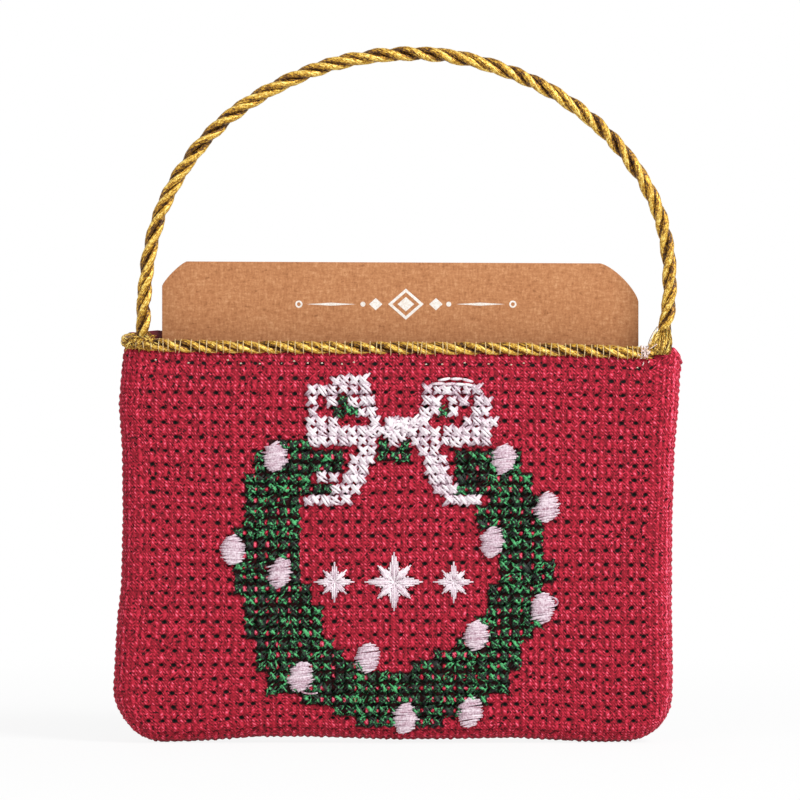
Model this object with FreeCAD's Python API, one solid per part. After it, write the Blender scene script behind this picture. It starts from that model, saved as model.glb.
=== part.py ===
"""Gift card holder: a lined cloth pouch with a corded mouth, a cord handle, a stitched front and a card.

Millimetres. +X is to the right, the front faces -Y and +Z is up. The origin is the middle of the foot.
Depths are measured from the side seam's plane: forward ones are negative, backward ones positive.
"""

import FreeCAD
import Part
import math
import os

from FreeCAD import Vector

# Kraft card in the pocket
CARD_WIDTH = 85.6
CARD_THICKNESS = 0.5
CARD_SHOWS = 16.7
CARD_CORNER = 6.5
CARD_FOOT_CORNER = 3.0
CARD_SIDE_CLEARANCE = 0.5
CARD_BACK_CLEARANCE = 0.3
CARD_FOOT_CLEARANCE = 0.1

# Outer cloth
FRONT_HEIGHT = 69.3
BACK_RISE = 2.2
FRONT_DEPTH = 5.0
BACK_DEPTH = 5.0
FRONT_CLOTH = 1.1
BACK_CLOTH = 0.9
BOTTOM_CORNER = 8.0
RIM_ROLL = 2.0
SEAM_ALLOWANCE = 1.8
SEAM_THREAD = 0.5
SEAM_THREAD_CLEARANCE = 0.03
MOUTH_BAND = 6.0

# Lining
LINING_CLOTH = 0.4
LINING_DROP = 0.5
LINING_CORNER = 4.0
LINING_ROLL = 1.0
LAYER_GAP = 0.15
SIDE_ROOM = 5.2

# Trim cord along the mouth, with its threads
TRIM_DIAMETER = 2.2
TRIM_SEAT = 0.02
TRIM_WRAP = 3.0
TRIM_BACK_GAP = 0.3
TRIM_END_GAP = 0.4
RING_GAP = 0.02
RING_SWEEP = 270.0
WHIP_THREAD = 0.24
WHIP_PITCH = 1.9
WHIP_MARGIN = 0.6
END_BINDING_THREAD = 0.3
END_BINDING_TURNS = 4

# Handle cord
HANDLE_DIAMETER = 2.6
HANDLE_RISE = 5.2
HANDLE_SWING_GAP = 0.3
HANDLE_HOLE_CLEARANCE = 0.1
LEFT_FOOT_GAP = 0.35
RIGHT_FOOT_GAP = 0.6
END_SEAM_GAP = 0.3
BINDING_THREAD = 0.2
BINDING_TURNS = 6
BINDING_START = 0.8

# The handle's route between its two feet: across the pouch, and up from the front hem
HANDLE_ROUTE = (
    (-45.2, 11.0),
    (-44.3, 19.0),
    (-41.6, 27.4),
    (-37.0, 35.4),
    (-30.4, 42.3),
    (-22.2, 47.7),
    (-12.8, 51.6),
    (-2.8, 53.6),
    (7.3, 53.6),
    (17.2, 51.6),
    (26.6, 47.3),
    (34.8, 41.3),
    (41.4, 33.9),
    (46.0, 25.6),
    (48.0, 17.4),
    (48.0, 10.2),
)

# Row of small stitches below the mouth
HEM_LINE = 1.7
HEM_PITCH = 2.3
HEM_STITCH = 0.9
HEM_FLOSS = 0.4
HEM_MARGIN = 5.0

# Cross-stitched wreath with its bow, berries and stars, measured from the middle of the wreath
WREATH_X = -0.6
WREATH_HEIGHT = 31.4
RING_OUTER = 27.4
RING_INNER = 17.4
RING_RIPPLE = 1.0
RING_OUTER_WAVES = 9
RING_INNER_WAVES = 11
STITCH_PITCH = 1.97
STITCH_FLOSS = 0.6
STITCH_RISE = 0.45
STITCH_GAP = 0.02
FACE_MARGIN = 0.2
BOW_LOOP_ACROSS = 9.8
BOW_LOOP_UP = 27.4
BOW_LOOP_HALF_WIDTH = 7.1
BOW_LOOP_HALF_HEIGHT = 6.6
BOW_LOOP_SQUARENESS = 3
BOW_HOLE_HALF_WIDTH = 3.4
BOW_HOLE_HALF_HEIGHT = 2.9
BOW_KNOT_UP = 24.6
BOW_KNOT_HALF = 2.2
BOW_TAIL_TOP = 22.4
BOW_TAIL_FOOT = 10.6
BOW_TAIL_START = 3.2
BOW_TAIL_SPREAD = 6.4
BOW_TAIL_RIBBON = 4.2
BOW_TAIL_TURN = 12.8
BOW_TAIL_REACH = 15.2
BERRY_WIDTH = 4.2
BERRY_HEIGHT = 5.4
BERRY_RISE = 0.9
BERRY_ROUND = 0.5
STAR_ROW_UP = -2.7
STAR_SPACING = 10.6
STAR_RADIUS = 5.2
SIDE_STAR_RADIUS = 3.6
STAR_WAIST = 0.42
STAR_POINTS = 8

# Each berry's angle from +X, in degrees, and its distance from the middle as a share of the ring's
BERRY_PLACES = (
    (137, 1.044),
    (174, 1.051),
    (183, 0.737),
    (230, 0.934),
    (254, 0.62),
    (274, 0.964),
    (297, 1.066),
    (320, 0.697),
    (344, 1.004),
    (15, 0.653),
    (21, 1.066),
    (45, 0.996),
)

BACK_HEIGHT = FRONT_HEIGHT + BACK_RISE
POCKET_HALF = CARD_WIDTH / 2 + CARD_SIDE_CLEARANCE
LINING_HALF = POCKET_HALF + LINING_CLOTH
POUCH_HALF = LINING_HALF + SIDE_ROOM + FRONT_CLOTH
THICKEST_CLOTH = max(FRONT_CLOTH, BACK_CLOTH)
LINING_FOOT = THICKEST_CLOTH + SEAM_ALLOWANCE + LAYER_GAP
SEAM_TOP = FRONT_HEIGHT - MOUTH_BAND

TRIM_RADIUS = TRIM_DIAMETER / 2
TRIM_Y = FRONT_CLOTH / 2 - FRONT_DEPTH
TRIM_Z = FRONT_HEIGHT + TRIM_SEAT + TRIM_RADIUS

HANDLE_RADIUS = HANDLE_DIAMETER / 2
HANDLE_Y = TRIM_Y + TRIM_RADIUS + LAYER_GAP + HANDLE_RADIUS
HANDLE_AXIS_Z = FRONT_HEIGHT + HANDLE_RISE
LEFT_FOOT_X = -(LINING_HALF + LEFT_FOOT_GAP + HANDLE_RADIUS)
RIGHT_FOOT_X = POUCH_HALF - FRONT_CLOTH - RIGHT_FOOT_GAP - HANDLE_RADIUS
TRIM_RIGHT_X = RIGHT_FOOT_X - HANDLE_RADIUS - TRIM_END_GAP

# How far threads and stitches stand out from the front cloth, which sets the middle of the depth
TRIM_PROUD = TRIM_RADIUS + RING_GAP + max(WHIP_THREAD, END_BINDING_THREAD) - FRONT_CLOTH / 2
FRONT_PROUD = max(BERRY_RISE, STITCH_RISE, HEM_FLOSS / 2, TRIM_PROUD)
SEAM_Y = (FRONT_DEPTH + FRONT_PROUD - BACK_DEPTH) / 2

FRONT = -1
BACK = 1
BEYOND = 5.0
TOLERANCE = 1e-6
FULL_TURN = 360

# The share of a run that one bend may take, and the smallest and largest roll of an edge
BEND_SHARE = 0.45
LEAST_ROLL = 0.1
ROLL_SHARE = 0.9


def at(x, depth, z):
    """The point at a depth from the seam's plane."""
    return Vector(x, SEAM_Y + depth, z)


def pouch_face(half_width, foot, top, corner):
    """The pouch's outline in the seam's plane: upright sides, a level foot and two round corners."""
    swing = corner * (1 - math.sqrt(0.5))
    left_side = Part.LineSegment(at(-half_width, 0, top), at(-half_width, 0, foot + corner))
    left_corner = Part.Arc(
        at(-half_width, 0, foot + corner),
        at(-half_width + swing, 0, foot + swing),
        at(-half_width + corner, 0, foot),
    )
    level = Part.LineSegment(at(-half_width + corner, 0, foot), at(half_width - corner, 0, foot))
    right_corner = Part.Arc(
        at(half_width - corner, 0, foot),
        at(half_width - swing, 0, foot + swing),
        at(half_width, 0, foot + corner),
    )
    right_side = Part.LineSegment(at(half_width, 0, foot + corner), at(half_width, 0, top))
    mouth = Part.LineSegment(at(half_width, 0, top), at(-half_width, 0, top))
    outline = (left_side, left_corner, level, right_corner, right_side, mouth)
    return Part.Face(Part.Wire([curve.toShape() for curve in outline]))


def rolled_block(half_width, foot, top, corner, depth, roll, side):
    """A block from the seam's plane to one face, with that face rolled into the sides and foot."""
    block = pouch_face(half_width, foot, top, corner).extrude(Vector(0, side * depth, 0))
    face_y = SEAM_Y + side * depth
    rolled = []
    for edge in block.Edges:
        box = edge.BoundBox
        on_face = abs(box.YMin - face_y) < TOLERANCE and abs(box.YMax - face_y) < TOLERANCE
        if on_face and box.ZMin < top - TOLERANCE:
            rolled.append(edge)
    return block.makeFillet(min(max(roll, LEAST_ROLL), ROLL_SHARE * min(corner, depth)), rolled)


def route_wire(points, radius=None):
    """Straight runs joined by tangent arcs, each as large as its runs allow unless a radius is given."""
    edges = []
    radii = []
    start = points[0]
    for before, corner, after in zip(points, points[1:], points[2:]):
        incoming = (corner - before).normalize()
        outgoing = (after - corner).normalize()
        half_turn = incoming.getAngle(outgoing) / 2
        shorter = min((corner - before).Length, (after - corner).Length)
        bend = radius or BEND_SHARE * shorter / math.tan(half_turn)
        reach = bend * math.tan(half_turn)
        arc_start = corner - incoming * reach
        arc_end = corner + outgoing * reach
        inward = (outgoing - incoming).normalize()
        middle = corner + inward * (bend / math.cos(half_turn) - bend)
        edges.append(Part.LineSegment(start, arc_start).toShape())
        edges.append(Part.Arc(arc_start, middle, arc_end).toShape())
        radii.append(bend)
        start = arc_end
    edges.append(Part.LineSegment(start, points[-1]).toShape())
    return Part.Wire(edges), radii


def tube(points, diameter, radius=None):
    """A round tube along a route, its bend radii and its length."""
    path, radii = route_wire(points, radius)
    ring = Part.Wire(Part.makeCircle(diameter / 2, points[0], points[1] - points[0]))
    return path.makePipeShell([ring], True, True), radii, path.Length


def thread_ring(middle, axis, start, radius, thread, sweep):
    """A thread bent round an axis, from the direction start through the angle sweep."""
    tangent = axis.cross(start)
    section = Part.Face(Part.Wire(Part.makeCircle(thread / 2, middle + start * radius, tangent)))
    return section.revolve(middle, axis, sweep)


def spaced(low, high, pitch):
    """Places between two limits, evenly spaced and centred."""
    count = int((high - low) / pitch) + 1
    first = (low + high - (count - 1) * pitch) / 2
    return [first + pitch * number for number in range(count)]


def seam_route():
    """The seam's line round the sides and foot, in the middle of the turned-in edges."""
    inset = THICKEST_CLOTH + SEAM_ALLOWANCE / 2
    across = POUCH_HALF - inset
    top = SEAM_TOP - SEAM_THREAD
    return [at(-across, 0, top), at(-across, 0, inset), at(across, 0, inset), at(across, 0, top)]


def seam_tube(diameter):
    bend = BOTTOM_CORNER - THICKEST_CLOTH - SEAM_ALLOWANCE / 2
    return tube(seam_route(), diameter, bend)[0]


def outer_panel(side, height, depth, cloth):
    """One half of the outer pouch: cloth rolled to the seam, with its edge turned in there."""
    outside = rolled_block(POUCH_HALF, 0, height, BOTTOM_CORNER, depth, RIM_ROLL, side)
    inside = rolled_block(
        POUCH_HALF - cloth,
        cloth,
        height + BEYOND,
        BOTTOM_CORNER - cloth,
        depth - cloth,
        RIM_ROLL - cloth,
        side,
    )
    turned = THICKEST_CLOTH + SEAM_ALLOWANCE
    edge = pouch_face(POUCH_HALF, 0, SEAM_TOP, BOTTOM_CORNER)
    edge = edge.cut(pouch_face(POUCH_HALF - turned, turned, SEAM_TOP + BEYOND, BOTTOM_CORNER - turned))
    turned_edge = edge.extrude(Vector(0, side * cloth, 0))
    panel = outside.cut(inside).fuse(turned_edge).removeSplitter()
    return panel.cut(seam_tube(SEAM_THREAD + 2 * SEAM_THREAD_CLEARANCE))


def lining_half(side, height, depth, cloth):
    """One half of the lining: a smaller pouch whose mouth is turned out to the outer cloth."""
    top = height - LINING_DROP
    room = depth - cloth - LAYER_GAP
    outside = rolled_block(LINING_HALF, LINING_FOOT, top, LINING_CORNER, room, LINING_ROLL, side)
    pocket = rolled_block(
        POCKET_HALF,
        LINING_FOOT + LINING_CLOTH,
        top + BEYOND,
        LINING_CORNER - LINING_CLOTH,
        room - LINING_CLOTH,
        LINING_ROLL - LINING_CLOTH,
        side,
    )
    inset = cloth + LAYER_GAP
    mouth = rolled_block(
        POUCH_HALF - inset, inset, top, BOTTOM_CORNER - inset, room, RIM_ROLL - inset, side
    )
    slab_corner = at(-POUCH_HALF, -depth, top - LINING_CLOTH)
    slab = Part.makeBox(2 * POUCH_HALF, 2 * depth, LINING_CLOTH, slab_corner)
    lining = outside.fuse(mouth.common(slab)).cut(pocket)
    for foot_x in (LEFT_FOOT_X, RIGHT_FOOT_X):
        hole = HANDLE_RADIUS + HANDLE_HOLE_CLEARANCE
        lining = lining.cut(Part.makeCylinder(hole, BEYOND, at(foot_x, HANDLE_Y, top - BEYOND / 2)))
    return lining.removeSplitter()


def trim_cord():
    """The cord that lies on the front hem and wraps round the left corner to the side seam."""
    corner_x = TRIM_RADIUS - POUCH_HALF
    points = [
        at(TRIM_RIGHT_X, TRIM_Y, TRIM_Z),
        at(corner_x, TRIM_Y, TRIM_Z),
        at(corner_x, -TRIM_BACK_GAP, TRIM_Z),
    ]
    return tube(points, TRIM_DIAMETER, TRIM_WRAP)[0]


def trim_rings(places, thread):
    """Threads over the trim cord, open below where they go into the hem."""
    start = Vector(0, 1, -1).normalize()
    radius = TRIM_RADIUS + RING_GAP + thread / 2
    rings = [
        thread_ring(at(x, TRIM_Y, TRIM_Z), Vector(1, 0, 0), start, radius, thread, RING_SWEEP)
        for x in places
    ]
    return Part.makeCompound(rings)


def handle_points():
    """The handle's route: from one bending point up, over and down to the other."""
    bend_left = at(LEFT_FOOT_X, HANDLE_Y, HANDLE_AXIS_Z)
    bend_right = at(RIGHT_FOOT_X, HANDLE_Y, HANDLE_AXIS_Z)
    arch = [at(x, HANDLE_Y, FRONT_HEIGHT + rise) for x, rise in HANDLE_ROUTE]
    return [bend_left] + arch + [bend_right]


def handle_cord():
    """The free arch of cord, with round ends that turn on the swing axis."""
    points = handle_points()
    arch, radii, length = tube(points, HANDLE_DIAMETER)
    section = math.pi * HANDLE_RADIUS**2
    print("handle bend radii", [round(radius, 1) for radius in radii])
    print("handle length", round(length, 1))
    print("handle volume over section x length", round(arch.Volume / (section * length), 4))
    for end in (points[0], points[-1]):
        arch = arch.fuse(Part.makeSphere(HANDLE_RADIUS, end))
    return arch.removeSplitter()


def handle_end(foot_x):
    """A sewn end of the handle cord, between the outer cloth and the lining, with a round top."""
    foot = SEAM_TOP + END_SEAM_GAP
    shoulder = HANDLE_AXIS_Z - 2 * HANDLE_RADIUS - HANDLE_SWING_GAP
    stem = Part.makeCylinder(HANDLE_RADIUS, shoulder - foot, at(foot_x, HANDLE_Y, foot))
    return stem.fuse(Part.makeSphere(HANDLE_RADIUS, at(foot_x, HANDLE_Y, shoulder))).removeSplitter()


def handle_binding(foot_x):
    """Turns of thread round a sewn end."""
    start = SEAM_TOP + END_SEAM_GAP + BINDING_START
    radius = HANDLE_RADIUS + RING_GAP + BINDING_THREAD / 2
    pitch = BINDING_THREAD + RING_GAP
    turns = [
        thread_ring(
            at(foot_x, HANDLE_Y, start + pitch * turn),
            Vector(0, 0, 1),
            Vector(1, 0, 0),
            radius,
            BINDING_THREAD,
            FULL_TURN,
        )
        for turn in range(BINDING_TURNS)
    ]
    return Part.makeCompound(turns)


def on_front(outline, rise):
    """A flat shape on the front cloth: an outline of (across, up) points, standing out by rise."""
    corners = [at(x, -FRONT_DEPTH, z) for x, z in outline]
    return Part.Face(Part.makePolygon(corners + corners[:1])).extrude(Vector(0, -rise, 0))


def polar(angle, radius):
    return radius * math.cos(math.radians(angle)), radius * math.sin(math.radians(angle))


def cross_stitch():
    """One cross-stitch: two lengths of floss over each other, from corner to corner of a square."""
    reach = STITCH_PITCH / math.sqrt(2) - STITCH_FLOSS / 2 - STITCH_GAP
    half = STITCH_FLOSS / 2
    tip_radius = math.hypot(reach, half)
    tip_angle = math.degrees(math.atan2(half, reach))
    outline = []
    for arm in (45, 135, 225, 315):
        outline.append(polar(arm - tip_angle, tip_radius))
        outline.append(polar(arm + tip_angle, tip_radius))
        outline.append(polar(arm + 45, half * math.sqrt(2)))
    return on_front(outline, STITCH_RISE)


def on_face(u, v, half_width, half_height):
    """Whether a shape at (u, v) from the middle of the wreath lies on the flat of the front cloth."""
    across = POUCH_HALF - RIM_ROLL - FACE_MARGIN - half_width
    low = RIM_ROLL + FACE_MARGIN + half_height
    high = FRONT_HEIGHT - HEM_LINE - HEM_FLOSS - half_height
    return abs(WREATH_X + u) <= across and low <= WREATH_HEIGHT + v <= high


def in_bow(u, v):
    """Whether the bow covers a point: two loops, a knot and two tails that turn out at the foot."""
    across = abs(u)
    if across < BOW_KNOT_HALF and abs(v - BOW_KNOT_UP) < BOW_KNOT_HALF:
        return True
    loop_u = abs(across - BOW_LOOP_ACROSS)
    loop_v = abs(v - BOW_LOOP_UP)
    loop_u_share = (loop_u / BOW_LOOP_HALF_WIDTH) ** BOW_LOOP_SQUARENESS
    loop_v_share = (loop_v / BOW_LOOP_HALF_HEIGHT) ** BOW_LOOP_SQUARENESS
    in_loop = loop_u_share + loop_v_share < 1
    if in_loop and math.hypot(loop_u / BOW_HOLE_HALF_WIDTH, loop_v / BOW_HOLE_HALF_HEIGHT) > 1:
        return True
    fall = (BOW_TAIL_TOP - v) / (BOW_TAIL_TOP - BOW_TAIL_FOOT)
    tail_middle = BOW_TAIL_START + BOW_TAIL_SPREAD * fall
    in_tail = 0 <= fall <= 1 and abs(across - tail_middle) < BOW_TAIL_RIBBON / 2
    return in_tail or (BOW_TAIL_FOOT <= v < BOW_TAIL_TURN and tail_middle <= across < BOW_TAIL_REACH)


def berry_middles():
    """The berries that have room on the front cloth."""
    middles = [polar(angle, share * RING_OUTER) for angle, share in BERRY_PLACES]
    return [(u, v) for u, v in middles if on_face(u, v, BERRY_WIDTH / 2, BERRY_HEIGHT / 2)]


def under_berry(u, v):
    """Whether a stitch at a point would run under a berry."""
    half_width = BERRY_WIDTH / 2 + STITCH_PITCH / math.sqrt(2)
    half_height = BERRY_HEIGHT / 2 + STITCH_PITCH / math.sqrt(2)
    return any(
        math.hypot((u - berry_u) / half_width, (v - berry_v) / half_height) < 1
        for berry_u, berry_v in berry_middles()
    )


def in_ring(u, v):
    """Whether the wreath's leaves cover a point; both edges of the ring are ragged."""
    turn = math.atan2(v, u)
    radius = math.hypot(u, v)
    outer = RING_OUTER + RING_RIPPLE * math.sin(RING_OUTER_WAVES * turn)
    inner = RING_INNER + RING_RIPPLE * math.sin(RING_INNER_WAVES * turn)
    return inner < radius < outer


def stitch_places():
    """The middles of the cross-stitches, by colour, on a square grid round the wreath's middle."""
    places = {"white": [], "green": []}
    span = int(max(RING_OUTER + RING_RIPPLE, BOW_LOOP_UP + BOW_LOOP_HALF_HEIGHT) / STITCH_PITCH) + 1
    for row in range(-span, span + 1):
        for column in range(-span, span + 1):
            u = column * STITCH_PITCH
            v = row * STITCH_PITCH
            if not on_face(u, v, STITCH_PITCH / 2, STITCH_PITCH / 2) or under_berry(u, v):
                continue
            if in_bow(u, v):
                places["white"].append((u, v))
            elif in_ring(u, v):
                places["green"].append((u, v))
    return places


def scattered(shape, places):
    """Copies of a stitch made at the origin, moved to places measured from the middle of the wreath."""
    moves = [Vector(WREATH_X + u, 0, WREATH_HEIGHT + v) for u, v in places]
    return Part.makeCompound([shape.translated(move) for move in moves])


def berry():
    """One berry: an oval pad of satin stitch with a rounded edge."""
    ends = at(0, -FRONT_DEPTH, BERRY_HEIGHT / 2), at(BERRY_WIDTH / 2, -FRONT_DEPTH, 0)
    oval = Part.Ellipse(ends[0], ends[1], at(0, -FRONT_DEPTH, 0)).toShape()
    pad = Part.Face(Part.Wire(oval)).extrude(Vector(0, -BERRY_RISE, 0))
    face_y = SEAM_Y - FRONT_DEPTH - BERRY_RISE
    rim = [edge for edge in pad.Edges if abs(edge.CenterOfMass.y - face_y) < TOLERANCE]
    return pad.makeFillet(BERRY_ROUND, rim)


def star(radius):
    """An eight-point star of straight stitches."""
    step = 180 / STAR_POINTS
    outline = [
        polar(step * corner, radius if corner % 2 == 0 else radius * STAR_WAIST)
        for corner in range(2 * STAR_POINTS)
    ]
    return on_front(outline, STITCH_RISE)


def star_row():
    """A large star between two small ones, in the middle of the wreath."""
    left = (-STAR_SPACING, SIDE_STAR_RADIUS)
    middle = (0, STAR_RADIUS)
    right = (STAR_SPACING, SIDE_STAR_RADIUS)
    stars = []
    for across, radius in (left, middle, right):
        if on_face(across, STAR_ROW_UP, radius, radius):
            place = Vector(WREATH_X + across, 0, WREATH_HEIGHT + STAR_ROW_UP)
            stars.append(star(radius).translated(place))
    return Part.makeCompound(stars)


def hem_stitches():
    """Half-round stitches in a row below the mouth."""
    floss = Part.makeCylinder(
        HEM_FLOSS / 2, HEM_STITCH, at(-HEM_STITCH / 2, -FRONT_DEPTH, 0), Vector(1, 0, 0)
    )
    shown = Part.makeBox(
        HEM_STITCH, HEM_FLOSS, HEM_FLOSS, at(-HEM_STITCH / 2, -FRONT_DEPTH - HEM_FLOSS, -HEM_FLOSS / 2)
    )
    stitch = floss.common(shown)
    limit = POUCH_HALF - HEM_MARGIN
    height = FRONT_HEIGHT - HEM_LINE
    stitches = [stitch.translated(Vector(x, 0, height)) for x in spaced(-limit, limit, HEM_PITCH)]
    return Part.makeCompound(stitches)


def gift_card():
    """The card, standing on the pocket's floor against its back, with large upper corners."""
    foot = LINING_FOOT + LINING_CLOTH + CARD_FOOT_CLEARANCE
    top = FRONT_HEIGHT + CARD_SHOWS
    back = BACK_DEPTH - BACK_CLOTH - LAYER_GAP - LINING_CLOTH - CARD_BACK_CLEARANCE
    front = back - CARD_THICKNESS
    sheet = Part.makeBox(CARD_WIDTH, CARD_THICKNESS, top - foot, at(-CARD_WIDTH / 2, front, foot))
    upright_middle = (foot + top) / 2
    for corner, upper in ((CARD_CORNER, True), (CARD_FOOT_CORNER, False)):
        rounded = []
        for edge in sheet.Edges:
            box = edge.BoundBox
            through = box.YLength > CARD_THICKNESS / 2 and box.XLength < TOLERANCE
            if through and box.ZLength < TOLERANCE and (box.ZMin > upright_middle) == upper:
                if abs(abs(box.XMin) - CARD_WIDTH / 2) < TOLERANCE:
                    rounded.append(edge)
        sheet = sheet.makeFillet(corner, rounded)
    return sheet


def main():
    stitches = stitch_places()
    cross = cross_stitch()
    binding_pitch = END_BINDING_THREAD + RING_GAP
    binding_start = TRIM_RIGHT_X - END_BINDING_THREAD
    end_places = [binding_start - binding_pitch * turn for turn in range(END_BINDING_TURNS)]
    whip_low = LEFT_FOOT_X + HANDLE_RADIUS + WHIP_MARGIN
    whip_high = end_places[-1] - WHIP_MARGIN
    parts = {
        "front_panel": outer_panel(FRONT, FRONT_HEIGHT, FRONT_DEPTH, FRONT_CLOTH),
        "back_panel": outer_panel(BACK, BACK_HEIGHT, BACK_DEPTH, BACK_CLOTH),
        "front_lining": lining_half(FRONT, FRONT_HEIGHT, FRONT_DEPTH, FRONT_CLOTH),
        "back_lining": lining_half(BACK, BACK_HEIGHT, BACK_DEPTH, BACK_CLOTH),
        "seam_thread": seam_tube(SEAM_THREAD),
        "hem_stitches": hem_stitches(),
        "trim_cord": trim_cord(),
        "trim_whip_stitches": trim_rings(spaced(whip_low, whip_high, WHIP_PITCH), WHIP_THREAD),
        "trim_end_binding": trim_rings(end_places, END_BINDING_THREAD),
        "handle_cord": handle_cord(),
        "handle_left_end": handle_end(LEFT_FOOT_X),
        "handle_right_end": handle_end(RIGHT_FOOT_X),
        "handle_left_binding": handle_binding(LEFT_FOOT_X),
        "handle_right_binding": handle_binding(RIGHT_FOOT_X),
        "wreath_stitches": scattered(cross, stitches["green"]),
        "bow_stitches": scattered(cross, stitches["white"]),
        "berry_stitches": scattered(berry(), berry_middles()),
        "star_stitches": star_row(),
        "gift_card": gift_card(),
    }
    os.makedirs("parts", exist_ok=True)
    for node, shape in parts.items():
        shape.exportStep("parts/" + node + ".step")
        box = shape.BoundBox
        sides = [round(side, 2) for side in (box.XMin, box.XMax, box.YMin, box.YMax, box.ZMin, box.ZMax)]
        print(node, len(shape.Solids), "solids", "valid" if shape.isValid() else "not valid", sides)


main()
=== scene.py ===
import math

import bpy
import numpy as np
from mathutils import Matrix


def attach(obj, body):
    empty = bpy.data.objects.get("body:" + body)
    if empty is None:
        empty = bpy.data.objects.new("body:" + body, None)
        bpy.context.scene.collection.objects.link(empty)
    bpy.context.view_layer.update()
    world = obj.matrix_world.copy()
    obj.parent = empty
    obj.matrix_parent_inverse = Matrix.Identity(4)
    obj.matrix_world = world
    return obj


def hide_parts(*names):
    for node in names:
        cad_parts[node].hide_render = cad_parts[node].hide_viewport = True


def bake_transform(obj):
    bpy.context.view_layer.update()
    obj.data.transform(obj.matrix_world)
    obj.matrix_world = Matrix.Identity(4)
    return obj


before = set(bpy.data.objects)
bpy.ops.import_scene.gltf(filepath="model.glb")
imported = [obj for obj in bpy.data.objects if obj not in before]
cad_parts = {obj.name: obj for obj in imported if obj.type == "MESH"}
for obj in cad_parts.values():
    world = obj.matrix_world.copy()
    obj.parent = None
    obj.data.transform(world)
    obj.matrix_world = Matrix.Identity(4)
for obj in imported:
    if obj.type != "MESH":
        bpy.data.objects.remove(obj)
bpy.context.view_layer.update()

# Front panel: one piece of red cross-stitch cloth with open holes between its blocks of threads.
# It is cut with a seam allowance, its top edge is turned in over the mouth, and its sides and foot
# roll back to the side seam.
MM = 0.001
CELL_WIDE = 2.332
CELL_HIGH = 2.537
CELL_COLUMNS = 48
CELL_ROWS = 32
CELL_STEPS = 8
CLOTH_THICK = 0.75
FLAT_LEFT = -55.7
FLAT_FOOT = -6.2
FRONT_TOP = 69.0
FRONT_FACE = -4.5
FRONT_ALLOWANCE = 1.2
HEM_FOLD = 0.55
HEM_FINE = 3.0
POUCH_HALF = 50.0
FOOT_CORNER = 8.6
ROLL_OUT = 3.2
ROLL_BACK = 4.35
ROLL_STEPS = 32
SEAM_FOLD = 0.6
TURNED_IN = 3.0
FLOOR_GAP = 0.02
# The flat part inside the rolls: half its width, its foot, and the radius of its lower corners
FLAT_FACE = (POUCH_HALF - ROLL_OUT, ROLL_OUT, FOOT_CORNER - ROLL_OUT)
# How the outline wanders: places along an edge, and how far the edge is shifted there
FRONT_MOUTH = (
    (-49, -42, -35, -17, 0, 18, 29, 37, 44, 45.5, 46.5, 48, 48.9, 50, 50.6, 51.2),
    (0.9, 0.6, 0.3, 0.2, 0.1, 0.0, -0.2, -0.5, -0.8, -0.4, 0.3, 1.0, 1.0, -0.2, -1.2, -2.4),
)
LEFT_SIDE = (
    (4, 9, 13, 22, 28, 40, 52, 60, 66, 70),
    (0.0, -0.8, -0.6, -0.1, 0.6, 0.9, 0.8, 0.2, 0.7, 1.2),
)
RIGHT_SIDE = (
    (4, 9, 14, 24, 40, 52, 60, 66, 68, 70),
    (-0.9, -0.9, -0.8, -1.0, -0.9, -0.5, 0.2, 0.5, 0.9, 0.3),
)
FOOT_LINE = (
    (-43, -34, -25, -16, 0, 10, 21, 30, 37, 44),
    (0.0, 0.3, 1.0, 1.0, 0.5, 0.6, 0.8, 0.3, 0.0, 0.3),
)


def linear(red, green, blue):
    """A screen colour of 0 to 255 as the linear colour that a shader takes."""
    parts = np.array([red, green, blue]) / 255
    light = np.where(parts <= 0.04045, parts / 12.92, ((parts + 0.055) / 1.055) ** 2.4)
    return (*light, 1.0)


def only(piece):
    """Selects one piece and nothing else."""
    bpy.ops.object.select_all(action="DESELECT")
    bpy.context.view_layer.objects.active = piece
    piece.select_set(True)


def flat_cloth(name, left, right, low, high, columns, rows):
    """A flat rectangle of cloth that faces the front, in even squares; sizes in millimetres."""
    bpy.ops.object.select_all(action="DESELECT")
    bpy.ops.mesh.primitive_grid_add(x_subdivisions=columns, y_subdivisions=rows, size=1)
    cloth = bpy.context.object
    cloth.name = name
    cloth.rotation_euler = (math.radians(90), 0, 0)
    cloth.scale = ((right - left) * MM, (high - low) * MM, 1)
    cloth.location = ((left + right) / 2 * MM, 0, (low + high) / 2 * MM)
    bpy.ops.object.transform_apply(location=True, rotation=True, scale=True)
    return cloth


def edited(piece, kind, chosen, operator, **settings):
    """Selects the faces or edges of a piece that a test chooses, and works an edit operator on them."""
    only(piece)
    bpy.ops.object.mode_set(mode="EDIT")
    bpy.ops.mesh.select_mode(type=kind)
    bpy.ops.mesh.select_all(action="DESELECT")
    bpy.ops.object.mode_set(mode="OBJECT")
    for element in piece.data.polygons if kind == "FACE" else piece.data.edges:
        element.select = chosen(element)
    bpy.ops.object.mode_set(mode="EDIT")
    operator(**settings)
    bpy.ops.object.mode_set(mode="OBJECT")


def cut_corners(cloth, beyond):
    """Cuts off the cloth that lies past the seam allowance at the two lower corners."""
    flat = read_places(cloth)
    past = past_face(flat[:, 0], flat[:, 2], *FLAT_FACE)[0]

    def waste(face):
        return min(past[corner] for corner in face.vertices) > beyond

    edited(cloth, "FACE", waste, bpy.ops.mesh.delete, type="FACE")


def read_places(piece):
    """The places of a piece's vertices in millimetres, as three columns."""
    places = np.empty(len(piece.data.vertices) * 3)
    piece.data.vertices.foreach_get("co", places)
    return places.reshape(-1, 3) / MM


def set_places(piece, places):
    """Moves a piece's vertices to places in millimetres."""
    piece.data.vertices.foreach_set("co", (np.asarray(places) * MM).ravel())
    piece.data.update()


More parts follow.
